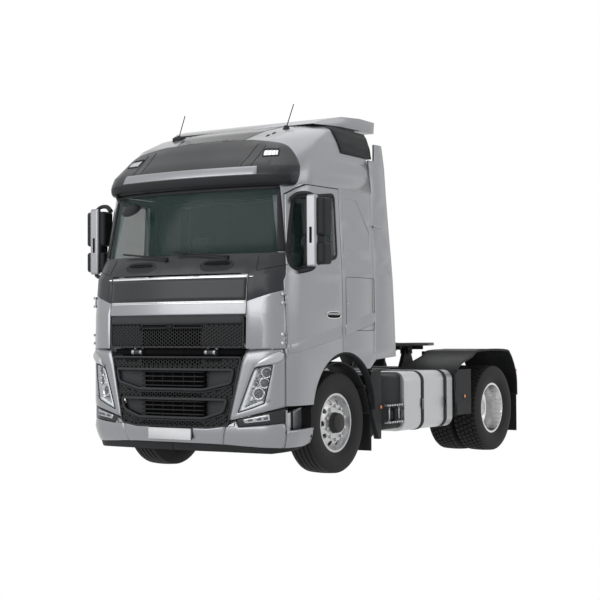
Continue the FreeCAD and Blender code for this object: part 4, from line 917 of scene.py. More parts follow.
# Lower grille: backing panel, honeycomb, edge bar, two notches and the framed intakes
def makeLowerGrille(spec):
    edge = spec["outline"]
    margins = [shrunk(outline, -spec["margin"]) for outline in spec["intakes"]]
    inner = shrunk(edge, spec["margin"])
    notchNear, notchFar, notchFoot = spec["notchArea"]

    def isIntake(s, z):
        return any(inside(outline, s, z) for outline in spec["intakes"])

    def isOpen(s, z):
        return any(abs(s) < half and low < z < high for half, low, high in spec["openings"])

    def isCell(s, z):
        notch = notchNear < abs(s) < notchFar and z > notchFoot
        return inside(inner, s, z) and not notch and not any(inside(outline, s, z) for outline in margins)

    (wide, foot, head), (sStep, zStep) = spec["panel"], spec["grid"]
    sLines = lines(-wide, wide, sStep) + [-spec["centre"], spec["centre"]]
    zLines = lines(foot, head, zStep) + [v for o in spec["openings"] for v in o[1:]]
    parts = [panelGrid("panel", sLines, zLines,
                       lambda s, z: inside(edge, s, z) and not isIntake(s, z) and not isOpen(s, z),
                       lowSkin, -0.016, "grille")]
    width, height, wall = spec["cell"]
    cells = lattice(width, height, *spec["lattice"], isCell)
    parts.append(honeycomb("open", [c for c in cells if isOpen(*c)], width, height, wall, lowSkin, 0.0, 0.02,
                           "grille"))
    parts.append(honeycomb("scales", [c for c in cells if not isOpen(*c)], width, height, wall, lowSkin, 0.0,
                           0.02, "grille", spec["scaleDepth"]))
    parts.append(frameBar("edge", roundedOutline(shrunk(edge, 0.009), 0.03), 0.009, lowSkin, -0.004, "trim"))
    for side in (-1, 1):
        low, top = ([(side * near, z), (side * far, z)] for near, far, z in spec["notch"])
        parts.append(ribbon("notch", low, top, lowSkin, "void", -0.006, 0.01, 0.05))
    for outline, bars in zip(spec["intakes"], spec["bars"]):
        parts += makeIntake(spec, outline, bars)
    # near-black board behind the lower grille: partly the radiator's own black, partly painted shade inside the
    # grille
    low, top = ([(-half, z), (half, z)] for half, z in spec["back"])
    parts.append(ribbon("back", low, top, lowSkin, "void", -0.09, 0.002, 0.08, 3))
    return joined("lowerGrille", parts)


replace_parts(rideAs(makeLowerGrille(lowerGrille), "chassis"), "lower_grille")

# Near-black board in the gap that the cab's tilt needs between the two grilles: painted shade in the gap
gap = dict(half=0.82, low=1.2, top=1.262)
low, top = ([(-gap["half"], gap[key]), (gap["half"], gap[key])] for key in ("low", "top"))
gapShadeBoard = ribbon("gapShadeBoard", low, top, lowSkin, "void", -0.06, 0.01, 0.08)
rideAs(gapShadeBoard, "chassis")
print("grilles done")

# Left lamp cluster as (s, z) on the lower skin
lampCluster = dict(
    outer=[(0.806, 1.14), (0.85, 1.24), (1.0, 1.262), (1.12, 1.278), (1.238, 1.292), (1.248, 1.15),
           (1.248, 0.712), (0.979, 0.651), (0.672, 0.58)],
    lens=[(0.905, 1.0), (0.942, 1.076), (1.0, 1.086), (1.06, 1.096), (1.118, 1.104), (1.098, 1.0),
          (1.034, 0.744), (0.92, 0.7), (0.766, 0.652)],
    bars=(([(0.787, 0.672), (0.94, 1.058)], [(0.812, 0.676), (0.962, 1.05)]),
          ([(0.787, 0.668), (1.02, 0.748)], [(0.806, 0.69), (1.012, 0.768)])),
    projectors=((1.055, 1.035, 0.036), (1.03, 0.935, 0.034), (0.965, 0.835, 0.04), (0.99, 1.0, 0.016),
                (0.94, 0.92, 0.016)),
    fins=6, browLow=[(0.94, 1.078), (0.99, 1.092), (1.05, 1.104), (1.12, 1.115), (1.175, 1.13), (1.212, 1.15)],
    browTop=[(0.946, 1.088), (1.0, 1.16), (1.075, 1.2), (1.14, 1.224), (1.19, 1.236), (1.222, 1.226)],
    washer=([(1.058, 0.756), (1.09, 0.766)], [(1.062, 0.778), (1.094, 0.786)]))


# Corner panel: rings that blend from the outer outline to the lens's, rolled in at both edges and
# set back near the top by 0.018 t^2
def makeCluster(spec):
    a, b = paired(spec["outer"], spec["lens"], 0.03, True)
    share = np.array([0.0, 0.0, 0.012, 0.35, 0.7, 0.94, 1.0, 1.0])[:, None]
    lift = np.array([-0.06, -0.01, 0.0, 0.002, 0.002, 0.0, -0.006, -0.05])[:, None]
    s = a[None, :, 0] * (1 - share) + b[None, :, 0] * share
    z = a[None, :, 1] * (1 - share) + b[None, :, 1] * share
    points = lowSkin(s, z, lift - 0.018 * np.clip((z - 1.16) / 0.1, 0, 1) ** 2)
    return outward(build("panel", points, gridFaces(len(share), len(a), False, True), "paint"))


# Round projector: a turned bezel and a dome of radius r, set square to the skin
def makeProjector(s, z, radius):
    centre = lowSkin(s, z, -0.045)
    turn = Vector(lowSkin(s, z, 0.05) - centre).to_track_quat("Z", "Y").to_matrix().to_4x4()
    profile = [(-0.04, radius * 1.35), (0.012, radius * 1.5), (0.014, radius * 1.3), (0.0, radius * 1.12),
               (-0.004, radius)]
    rise = np.linspace(0.2, math.pi / 2, 6)
    dome = [(0.0, radius)] + list(zip(0.02 * np.sin(rise), radius * np.cos(rise)))
    pieces = [turned("bezel", profile, (0, 0, 0), "chrome", 28, "Z"),
              turned("dome", dome, (0, 0, 0), "lens", 28, "Z")]
    for piece in pieces:
        piece.data.transform(Matrix.Translation(Vector(centre)) @ turn)
    return pieces


# Lamp: a tub whose wall runs in from the lens to 0.8 of it, daylight bars, projectors and fins
def makeLampInside(spec):
    lens = np.array(spec["lens"])
    tub = lens.mean(0) + (lens - lens.mean(0)) * 0.8
    a, b = paired(lens, tub, 0.03, True)
    wall = np.stack([lowSkin(a[:, 0], a[:, 1], -0.012), lowSkin(b[:, 0], b[:, 1], -0.075)])
    faces = gridFaces(2, len(a), False, True) + [list(range(len(a), 2 * len(a)))]
    parts = [build("tub", wall, faces, "reflector")]
    for low, top in spec["bars"]:
        parts.append(ribbon("daylight", low, top, lowSkin, "daylight", -0.008, 0.03, 0.04, 3, crown=0.004))
    for projector in spec["projectors"]:
        parts += makeProjector(*projector)
    for k in range(spec["fins"]):
        s, z = 0.86 + 0.02 * k, 0.76 + 0.05 * k
        parts.append(ribbon("fin", [(s, z), (s + 0.05, z + 0.012)], [(s, z + 0.006), (s + 0.05, z + 0.018)],
                            lowSkin, "chrome", -0.04, 0.03, 0.03))
    return joined("lampInside", parts)


brow = ribbon("brow", lampCluster["browLow"], lampCluster["browTop"], lowSkin, "satin", 0.006, 0.05, 0.02, 8,
              crown=0.02)
washer = ribbon("washer", *lampCluster["washer"], lowSkin, "paint", 0.008, 0.02, 0.02, 4, crown=0.008)
seal = frameBar("seal", roundedOutline(lampCluster["lens"], 0.02), 0.005, lowSkin, -0.002, "plastic")
panel = joined("lampPanel", [makeCluster(lampCluster), brow, washer, seal])
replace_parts(both(panel, "lampPanel", "chassis")[0], "headlamps")
both(makeLampInside(lampCluster), "lampInside", "chassis")
coverInner = [lampCluster["lens"][k] for k in (0, 8, 7, 6)]
cover = ribbon("cover", lampCluster["lens"][1:5], coverInner, lowSkin, "clear", 0.0, 0.003, 0.03, 10)
both(cover, "lampCover", "chassis")

# Strip under the lamp, with a pocket of three small bulbs
fogStrip = dict(low=[(0.768, 0.512), (0.98, 0.532), (1.248, 0.556)],
                top=[(0.735, 0.583), (0.98, 0.641), (1.248, 0.702)],
                lensLow=[(0.834, 0.553), (1.09, 0.584)], lensTop=[(0.808, 0.588), (1.078, 0.643)],
                bulbs=(0.87, 0.96, 1.03))
strip = ribbon("strip", fogStrip["low"], fogStrip["top"], lowSkin, "dark", -0.012, 0.04, 0.03, 4)
pocket = ribbon("pocket", fogStrip["lensLow"], fogStrip["lensTop"], lowSkin, "reflector", -0.009, 0.004, 0.03, 4)
bulbs = []
for s in fogStrip["bulbs"]:
    rise = s - fogStrip["bulbs"][0]
    low = [(s, 0.572 + 0.1 * rise), (s + 0.04, 0.576 + 0.1 * rise)]
    top = [(s, 0.59 + 0.12 * rise), (s + 0.04, 0.598 + 0.12 * rise)]
    bulbs.append(ribbon("bulb", low, top, lowSkin, "lens", -0.003, 0.008, 0.02, 3, crown=0.004))
both(joined("fogStrip", [strip, pocket] + bulbs), "fogStrip", "chassis")
fogCover = ribbon("fogCover", fogStrip["lensLow"], fogStrip["lensTop"], lowSkin, "clear", 0.0, 0.002, 0.03, 3)
both(fogCover, "fogCover", "chassis")


# Bumper face: drawn in by 0.05 t^1.6 below 0.47 and rounded over by 0.012 t^2 above 0.5
def bumperSkin(s, z, lift):
    draw = -0.05 * np.clip((0.47 - z) / 0.15, 0, 1) ** 1.6 - 0.012 * np.clip((z - 0.5) / 0.05, 0, 1) ** 2
    return lowSkin(s, z, lift + draw)


# Lip: set back and drawn in by 0.3 of its drop below 0.33
def lipSkin(s, z, lift):
    return lowSkin(s, z, lift - 0.055 - 0.3 * np.clip(0.33 - z, 0, 1))


# (low, top) outlines of the bumper's left half, panel by panel; faceMake and lipMake are the
# surface, finish, thickness and rows
bumper = dict(
    middle=([(0.0, 0.352), (0.44, 0.349), (0.584, 0.345)], [(0.0, 0.497), (0.44, 0.497), (0.63, 0.523)]),
    corner=([(0.59, 0.345), (0.66, 0.342), (0.7, 0.34), (0.766, 0.335), (0.98, 0.324), (1.25, 0.317)],
            [(0.638, 0.524), (0.7, 0.56), (0.735, 0.578), (0.766, 0.512), (0.98, 0.53), (1.25, 0.556)]),
    end=([(1.258, 0.317), (1.3, 0.317), (1.57, 0.325), (1.64, 0.35)],
         [(1.258, 0.556), (1.3, 0.47), (1.57, 0.49), (1.64, 0.49)]),
    lip=([(0.0, 0.272), (0.6, 0.27), (1.1, 0.262), (1.45, 0.29), (1.6, 0.33)],
         [(0.0, 0.36), (0.6, 0.354), (1.1, 0.335), (1.45, 0.33), (1.6, 0.35)]),
    faceMake=(bumperSkin, "paint", 0.03, 10), lipMake=(lipSkin, "plastic", 0.02, 4),
    plate=(0.262, 0.382, 0.502), towEyes=(0.655, 0.727, 0.517, 0.574))


# Bumper: ribbons between each panel's low and top lines, mirrored, and the tow eyes' edges
def makeBumper(spec):
    parts = []
    for side in (1, -1):
        for key in ("middle", "corner", "end", "lip"):
            surface, material, depth, rows = spec["lipMake" if key == "lip" else "faceMake"]
            low, top = ([(side * s, z) for s, z in line] for line in spec[key])
            parts.append(ribbon(key, low, top, surface, material, 0.0, depth, 0.04, rows))
        s0, s1, z0, z1 = spec["towEyes"]
        eye = [(side * s, z) for s, z in ((s0, z0), (s1, z0 + 0.004), (s1, z1), (s0, z1 - 0.02))]
        parts.append(frameBar("towEdge", eye, 0.003, lowSkin, -0.002, "dark"))
    return joined("bumperShell", parts)


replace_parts(rideAs(makeBumper(bumper), "chassis"), "bumper")

half, low, high = bumper["plate"]
rim = roundedOutline(mirrorOutline([(half, high), (half, low)]), 0.012)
holder = frameBar("holder", rim, 0.005, lowSkin, 0.006, "plastic")
backBoard = ribbon("board", [(-half, low), (half, low)], [(-half, high), (half, high)], lowSkin, "plastic",
                   0.002, 0.006, 0.06)
rideAs(joined("plateHolder", [holder, backBoard]), "chassis")

# Entry step: a recess with a ledge between the bumper's corner and the front wheel
entryStep = dict(front=axleY - 0.957, rear=axleY - 0.59, ledge=0.472,
                 wellLow=[(1.262, 0.47), (1.3, 0.462), (1.57, 0.478), (1.64, 0.486)],
                 wellTop=[(1.262, 0.695), (1.3, 0.645), (1.57, 0.68), (1.64, 0.69)],
                 edgeLow=[(1.262, 0.448), (1.64, 0.468)], edgeTop=[(1.262, 0.482), (1.64, 0.498)],
                 grips=5, gripPitch=0.055)


# Step: the well's skin, a tread on ledge height with grips, walls behind it and the edge below
def makeStep(spec):
    front, rear, ledge = spec["front"], spec["rear"], spec["ledge"]
    parts = [ribbon("well", spec["wellLow"], spec["wellTop"], lowSkin, "satin", -0.12, 0.008, 0.03, 6)]
    middle = 0.5 * (front + rear)
    parts.append(boxPiece("tread", (1.0, front + 0.03, ledge - 0.02), (1.205, rear - 0.01, ledge), "paint", 0.006))
    parts.append(boxPiece("cheek", (1.06, front, 0.46), (1.19, front + 0.012, 0.68), "paint", 0.004))
    parts.append(boxPiece("back", (1.0, rear - 0.012, 0.4), (1.235, rear, 0.69), "plastic", 0.004))
    parts.append(boxPiece("rib", (1.09, middle - 0.004, 0.48), (1.135, middle + 0.004, 0.67), "plastic", 0.003))
    parts.append(ribbon("edge", spec["edgeLow"], spec["edgeTop"], lowSkin, "paint", 0.002, 0.04, 0.03, 5,
                        crown=0.006))
    for k in range(spec["grips"]):
        y = front + 0.07 + spec["gripPitch"] * k
        parts.append(boxPiece("grip", (1.02, y, ledge), (1.19, y + 0.02, ledge + 0.006), "trim", 0.002, 1))
    return joined("entryStep", parts)


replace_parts(both(makeStep(entryStep), "entryStep", "chassis")[0], "entry_steps")
print("lamps and bumper done")

# Lower and upper edge of a rounded slot: height times (1 - 0.99 |u|^4)^(1/2) along its length u
def slotEdges(middle, half, height, count=13):
    u = np.linspace(-1, 1, count)
    rise = height * np.sqrt(1 - 0.99 * np.abs(u) ** 4)
    s = middle[0] + half * u
    return list(zip(s, middle[1] - rise)), list(zip(s, middle[1] + rise))


# Line of round bar on a skin, and its mirror image
def skinLines(name, points, radius, surface, lift, material, mirrored=True):
    parts = [frameBar(name, points, radius, surface, lift, material, False, 8)]
    if mirrored:
        parts.append(frameBar(name, [(-s, z) for s, z in points], radius, surface, lift, material, False, 8))
    return parts


# Lid: dark band, bright line along its top that runs on past the seams, and a double chrome foot that is a painted
# highlight on the edge under the band
lidTrim = dict(reach=0.842, band=(1.722, 1.941), top=(1.942, 1.957), foot=((1.7, 0.005), (1.713, 0.005)),
               beyond=(0.862, 0.915))


# Band, top line and the foot lines of painted highlight, each between the same reach on either side
def makeLidTrim(spec):
    s, (low, high) = spec["reach"], spec["band"]
    parts = [ribbon("band", [(-s, low), (s, low)], [(-s, high), (s, high)], cabSkin, "dark", 0.003, 0.006,
                    0.04, 6)]
    low, high = spec["top"]
    parts.append(ribbon("topLine", [(-s, low), (s, low)], [(-s, high), (s, high)], cabSkin, "chrome", 0.003,
                        0.006, 0.04, 4, crown=0.001))
    # two chrome bars under the band: a painted highlight on the edge there
    for z, radius in spec["foot"]:
        parts.append(frameBar("footHighlight", [(-s, z), (s, z)], radius, cabSkin, 0.001, "chrome", False, 8))
    return joined("lidTrim", parts)


rideAs(makeLidTrim(lidTrim), "front_lid")
near, far = lidTrim["beyond"]
low, high = lidTrim["top"]
lower, upper = [(near, low), (far, low + 0.006)], [(near, high), (far, high - 0.006)]
beyond = ribbon("lineEnd", lower, upper, cabSkin, "chrome", 0.005, 0.007, 0.03, 4, crown=0.002)
both(beyond, "lineEnd", "cab")

# Cowl: two grab recesses, each a rim and a bowl painted darker as the recess's shade, and the seams of its end
# panels
cowlTrim = dict(bowls=(((-0.478, 2.068), 0.213, 0.05), ((0.472, 2.066), 0.186, 0.056)), rim=0.005,
                seams=[(0.896, 2.15), (0.919, 2.005), (1.213, 2.061)])


# Each bowl is a rounded slot painted darker as shade, with a smaller near-black one as deeper painted shade and a
# bar on its lower edge
def makeCowlTrim(spec):
    parts = []
    for middle, half, height in spec["bowls"]:
        low, top = slotEdges(middle, half, height)
        # the recess is not cut: a darker oval on the skin is painted shade
        parts.append(ribbon("bowl", low, top, cabSkin, "plastic", 0.0015, 0.004, 0.03, 8))
        parts.append(frameBar("bowlRim", low + top[::-1], spec["rim"], cabSkin, 0.001, "dark"))
        low, top = slotEdges((middle[0], middle[1] + 0.28 * height), 0.8 * half, 0.42 * height)
        # near-black inner oval: painted shade deep in the recess
        parts.append(ribbon("shade", low, top, cabSkin, "void", 0.0025, 0.003, 0.03, 4))
        parts.append(frameBar("gripEdge", [low[k] for k in (1, 6, 11)], 0.003, cabSkin, 0.003, "trim", False))
    return joined("cowlTrim", parts + skinLines("cowlSeam", spec["seams"], 0.0022, cabSkin, 0.0006, "void"))


rideAs(makeCowlTrim(cowlTrim), "cab")

# Visor: panel seams, a pair of marker lamps, the silver stripe and the lip under it
visorTrim = dict(seams=([(0.65, 3.28), (0.63, 3.035)], [(0.75, 3.26), (0.742, 3.035)]),
                 lamp=[(0.762, 3.216), (0.925, 3.208), (0.962, 3.132), (0.792, 3.132)], lampDepth=0.012,
                 flutes=(0.3, 0.55, 0.8),
                 stripe=((0.842, 2.94), (0.818, 3.026)), lip=((1.17, 2.846), (1.165, 2.926)))


# Seams on both sides, and the lip as a ribbon across the whole visor
def makeVisorTrim(spec):
    parts = []
    for seam in spec["seams"]:
        parts += skinLines("visorSeam", seam, 0.0025, visorSkin, 0.0004, "void")
    (s0, z0), (s1, z1) = spec["lip"]
    parts.append(ribbon("lip", [(-s0, z0), (s0, z0)], [(-s1, z1), (s1, z1)], visorSkin, "plastic", 0.004, 0.008,
                        0.04, 6, crown=0.004))
    return joined("visorTrim", parts)


# Silver stripe: a ribbon across the visor, raised in its middle
def makeStripe(spec):
    (s0, z0), (s1, z1) = spec["stripe"]
    return ribbon("visorStripe", [(-s0, z0), (s0, z0)], [(-s1, z1), (s1, z1)], visorSkin, "paint", 0.006, 0.009,
                  0.04, 8, crown=0.004)


# Marker lamp: a rounded frame, a lens drawn in from it and flutes at shares of its width
def makeMarker(spec):
    outer = roundedOutline(spec["lamp"], 0.014)
    inner = shrunk(outer, 0.009)
    parts = [frameBar("frame", outer, 0.006, visorSkin, 0.001, "plastic")]
    half = len(inner) // 2
    parts.append(ribbon("lens", inner[:half], inner[half:][::-1], visorSkin, "reflector", 0.003, spec["lampDepth"],
                        0.03, 5, crown=0.005))
    for share in spec["flutes"]:
        low = np.array(spec["lamp"][0]) * (1 - share) + np.array(spec["lamp"][1]) * share
        high = np.array(spec["lamp"][3]) * (1 - share) + np.array(spec["lamp"][2]) * share
        flute = [low * 0.85 + high * 0.15, low * 0.15 + high * 0.85]
        parts.append(frameBar("flute", flute, 0.002, visorSkin, 0.007, "satin", False, 6))
    return joined("markerLamp", parts)


rideAs(makeVisorTrim(visorTrim), "cab")
rideAs(makeStripe(visorTrim), "cab")
both(makeMarker(visorTrim), "markerLamp", "cab")

# Kerb mirror: a dish on an arm under the visor, leaning forward by its tilt
kerbMirror = dict(middle=(-0.65, axleY - 1.03, 2.655), radius=0.098, depth=0.05, tilt=38.0,
                  arm=[(-1.0, axleY - 0.83, 2.85), (-0.93, axleY - 0.93, 2.81), (-0.8, axleY - 1.02, 2.74),
                       (-0.66, axleY - 1.04, 2.69)])


# Dish and mirror turned about Z, tilted about X and carried by a smooth arm
def makeKerbMirror(spec):
    r, d = spec["radius"], spec["depth"]
    shell = [(d, 0.0), (0.96 * d, 0.3 * r), (0.8 * d, 0.6 * r), (0.45 * d, 0.87 * r), (0.0, r), (-0.1 * d, r),
             (-0.1 * d, 0.93 * r), (0.0, 0.9 * r)]
    face = [(-0.02 * d, 0.91 * r), (0.02 * d, 0.6 * r), (0.05 * d, 0.3 * r), (0.06 * d, 0.0)]
    rim = [(-0.16 * d, 0.95 * r), (-0.16 * d, 1.02 * r), (0.05 * d, 1.02 * r)]
    parts = [turned("dish", shell, (0, 0, 0), "plastic", 48, "Z"),
             turned("mirror", face, (0, 0, 0), "mirrorGlass", 48, "Z"),
             turned("dishRim", rim, (0, 0, 0), "trim", 48, "Z")]
    place = Matrix.Translation(spec["middle"]) @ Matrix.Rotation(math.radians(spec["tilt"]), 4, "X")
    for part in parts:
        part.data.transform(place)
    parts.append(tube("arm", smoothPath(spec["arm"], 18), 0.011, "plastic", 10))
    parts.append(turned("foot", [(0.0, 0.03), (-0.02, 0.03), (-0.035, 0.018)], spec["arm"][0], "plastic", 24, "Z"))
    return joined("kerbMirror", parts)


rideAs(makeKerbMirror(kerbMirror), "cab")

# Roof: two small sockets, a low housing and the rail under the spoiler, made near-black as painted shade
roofTrim = dict(sockets=((0.633, 3.386), (0.66, 3.415)),
                housing=((-0.68, axleY - 0.33, 3.4), (-0.56, axleY - 0.22, 3.478)),
                rail=((-0.9, axleY - 0.02, 3.52), (0.9, axleY + 0.02, 3.536)))


# Housing and rail as rounded blocks, sockets as small rounded slots with rims
def makeRoofTrim(spec):
    parts = [boxPiece("housing", *spec["housing"], "plastic", 0.012, 3),
             # near-black rail: painted shade under the spoiler
             boxPiece("rail", *spec["rail"], "void", 0.004, 2)]
    for s, z in spec["sockets"]:
        low, top = slotEdges((s, z), 0.014, 0.012, 9)
        parts.append(ribbon("socket", low, top, roofSkin, "void", 0.002, 0.004, 0.02, 2))
        parts.append(frameBar("socketRim", low + top[::-1], 0.002, roofSkin, 0.002, "trim", True, 6))
    return joined("roofTrim", parts)


rideAs(makeRoofTrim(roofTrim), "cab")
print("upper front done")

# Doors: dark surround round the glass, handle in a rimmed recess, and the raised band between
# the two creases
doorTrim = dict(glass=[(-0.868, 2.061), (-0.832, 2.02), (-0.565, 2.066), (-0.126, 2.163), (-0.126, 2.777),
                       (-0.727, 2.709)], surround=0.022,
                handle=((-0.2, 1.584), 0.133, 0.032), grip=(-0.318, -0.082, 1.594), gripLift=0.008,
                creaseLow=[(-0.945, 1.205), (-0.065, 1.357)], creaseTop=[(-0.945, 1.301), (-0.065, 1.479)])


# Band between the glass's rounded outline and the same drawn outwards, and a seal on its edge
def makeSurround(spec):
    inner = roundedOutline(spec["glass"], 0.05)
    outer = shrunk(inner, -spec["surround"])
    parts = [ribbon("band", inner, outer, sideSkin, "plastic", 0.003, 0.008, 0.04, 3, True)]
    parts.append(frameBar("sealRim", inner, 0.006, sideSkin, 0.0, "rubber"))
    return joined("surround", parts)


# Recess as a rounded near-black slot of painted shade, not sunk into the skin, and a grip that stands off by 1 -
# u^4 along its length
def makeHandle(spec):
    low, top = slotEdges(*spec["handle"])
    # near-black slot standing for the recess's depth: painted shade
    parts = [ribbon("bowl", low, top, sideSkin, "void", 0.001, 0.004, 0.03, 6)]
    parts.append(frameBar("bowlRim", low + top[::-1], 0.004, sideSkin, 0.001, "chrome"))
    s0, s1, z = spec["grip"]
    s = np.linspace(s0, s1, 13)
    arch = spec["gripLift"] * (1 - (2 * (s - s0) / (s1 - s0) - 1) ** 4)
    parts.append(tube("grip", sideSkin(s, z + 0 * s, arch), 0.012, "paint", 10))
    return joined("handle", parts)


# Raised band between the two crease lines
def makeCrease(spec):
    return ribbon("crease", spec["creaseLow"], spec["creaseTop"], sideSkin, "paint", 0.0006, 0.003, 0.04, 8,
                  crown=0.006)


both(makeSurround(doorTrim), "surround", "door_{}")
both(makeHandle(doorTrim), "handle", "door_{}")
both(makeCrease(doorTrim), "crease", "door_{}")

# Sleeper side: the locker's seam with its lock, the pressed outline above it, and the crease that
# runs on from the door
sideTrim = dict(locker=[(0.035, 1.43), (0.59, 1.43), (0.59, 1.968), (0.035, 1.968)], lock=(0.075, 1.7),
                press=[(0.05, 2.766), (0.304, 2.76), (0.541, 2.436), (0.52, 2.315), (0.02, 2.176)],
                creaseLow=[(0.012, 1.37), (0.59, 1.5)], creaseTop=[(0.012, 1.492), (0.59, 1.628)])


# Seam and pressed outline as bars on the skin, lock as a round slot, crease as a raised band
def makeSide(spec):
    locker, press = (roundedOutline(spec[key], 0.03) for key in ("locker", "press"))
    parts = [frameBar("lockerSeam", locker, 0.0022, sideSkin, 0.0004, "void", True, 6)]
    parts.append(frameBar("press", press, 0.005, sideSkin, -0.001, "paint", True, 10))
    low, top = slotEdges(spec["lock"], 0.012, 0.012, 9)
    parts.append(ribbon("lock", low, top, sideSkin, "satin", 0.003, 0.005, 0.02, 2))
    parts.append(ribbon("creaseRun", spec["creaseLow"], spec["creaseTop"], sideSkin, "paint", 0.0004, 0.003,
                        0.04, 8, crown=0.005))
    return joined("sleeperSide", parts)


both(makeSide(sideTrim), "sleeperSide", "cab")

# Windscreen: dark seal strips beside the glass, and a black strip along its head
screenTrim = dict(inner=[(1.068, 2.19), (1.0, 2.812)], outer=[(1.15, 2.186), (1.032, 2.818)],
                  headLow=[(-1.0, 2.8), (1.0, 2.8)], headTop=[(-1.04, 2.842), (1.04, 2.842)])
strip = ribbon("screenSeal", screenTrim["inner"], screenTrim["outer"], cabSkin, "plastic", 0.002, 0.006, 0.04, 3)
both(strip, "screenSeal", "cab")
head = ribbon("screenHead", screenTrim["headLow"], screenTrim["headTop"], cabSkin, "plastic", 0.003, 0.007,
              0.04, 3)
rideAs(head, "cab")

# Wheel arch: a black lip inside the opening, from start to end in degrees about its centre (y, z)
archTrim = dict(centre=(axleY + 0.02, 0.615), radii=(0.574, 0.596), across=(1.165, 1.238), start=14.0,
                end=180.0, steps=56)


# Five corners, each carried on an arc of its own radius about the arch's centre
def makeArch(spec):
    turn = np.radians(np.linspace(spec["start"], spec["end"], spec["steps"]))
    y, z = spec["centre"]
    inner, outer = spec["radii"]
    low, high = spec["across"]
    corners = ((low, outer - 0.004), (high, outer), (high, outer - 0.01), (high - 0.03, inner), (low, inner))
    loop = [np.stack([x + 0 * turn, y - r * np.cos(turn), z + r * np.sin(turn)], 1) for x, r in corners]
    faces = gridFaces(len(corners), len(turn), True, False)
    faces += [[k * len(turn) + end for k in range(len(corners))] for end in (0, len(turn) - 1)]
    return soften(outward(build("archLip", np.stack(loop), faces, "plastic")), 0.002, 2)


both(makeArch(archTrim), "archLip", "chassis")

# Mirrors: two rounded heads, a silver slotted housing in front of them, glass behind, two arms
mirrorLook = dict(front=axleY - 0.785, back=axleY - 0.612, upper=((1.246, 2.335), (1.494, 2.7)),
                  lower=((1.252, 2.062), (1.494, 2.272)), housing=((1.305, 2.035), (1.418, 2.728)),
                  slot=((1.345, 2.262), (1.378, 2.42)), glassMargin=0.02, across=0.028,
                  topArm=[(1.13, axleY - 0.79, 2.69), (1.2, axleY - 0.77, 2.74), (1.3, axleY - 0.75, 2.745),
                          (1.38, axleY - 0.74, 2.71)],
                  lowArm=[(1.17, axleY - 0.79, 1.998), (1.26, axleY - 0.78, 2.0), (1.35, axleY - 0.76, 2.02),
                          (1.39, axleY - 0.74, 2.065)])


# Heads, glass, housing and slot as rounded blocks, arms as tapering smooth tubes
def makeMirror(spec):
    front, back, parts = spec["front"], spec["back"], []
    edge = spec["glassMargin"]
    for (x0, z0), (x1, z1) in (spec["upper"], spec["lower"]):
        parts.append(boxPiece("head", (x0, front + 0.02, z0), (x1, back, z1), "plastic", 0.03, 5))
        parts.append(boxPiece("mirror", (x0 + edge, back - 0.004, z0 + edge), (x1 - edge, back + 0.003, z1 - edge),
                              "mirrorGlass", 0.003, 2))
    (x0, z0), (x1, z1) = spec["housing"]
    parts.append(boxPiece("housing", (x0, front - 0.012, z0), (x1, front + 0.05, z1), "paint", 0.022, 5))
    # near-black block in the housing's slot: painted shade of the opening
    (x0, z0), (x1, z1) = spec["slot"]
    parts.append(boxPiece("slot", (x0, front - 0.014, z0), (x1, front + 0.01, z1), "void", 0.006, 3))
    middle = 0.5 * (spec["upper"][0][1] + spec["lower"][1][1])
    parts.append(boxPiece("neck", (1.3, front + 0.03, middle - 0.05), (1.43, back - 0.03, middle + 0.05), "plastic",
                          0.008, 3))
    for key in ("topArm", "lowArm"):
        path = smoothPath(spec[key], 18)
        parts.append(tube(key, path, spec["across"] * np.linspace(0.9, 0.6, len(path)), "plastic", 14))
    return joined("mirrorHead", parts)


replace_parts(both(makeMirror(mirrorLook), "mirrorHead", "door_{}")[0], "mirror_left", "mirror_right")
print("cab sides done")

# Tyres: a closed profile turned round the axle. A row of the tread is cut at the last sample of
# each pitch, counted two samples further on for every row
tyreLook = dict(
    steer=dict(rows=(-0.104, -0.054, 0.0, 0.054, 0.104), groove=0.0055, depth=0.011, pitches=66, samples=4,
               cut=0.0045, edgeOnly=True),
    drive=dict(rows=(-0.108, -0.058, 0.0, 0.058, 0.108), groove=0.005, depth=0.015, pitches=52, samples=5,
               cut=0.013, edgeOnly=False),
)
sidewall = [(0.115, 0.291), (0.128, 0.3), (0.138, 0.318), (0.1445, 0.334), (0.1475, 0.337), (0.148, 0.342),
            (0.1495, 0.346), (0.1545, 0.37), (0.1568, 0.4), (0.1568, 0.416), (0.1555, 0.42), (0.1555, 0.426),
            (0.1552, 0.43), (0.1525, 0.452), (0.147, 0.474), (0.1425, 0.485), (0.14, 0.4935), (0.134, 0.4985)]
treadShape = dict(radius=0.507, drop=0.0065, half=0.13, inset=0.118, besideRow=0.012, cutAbove=0.497,
                  shoulder=0.1425, outerRow=0.119)


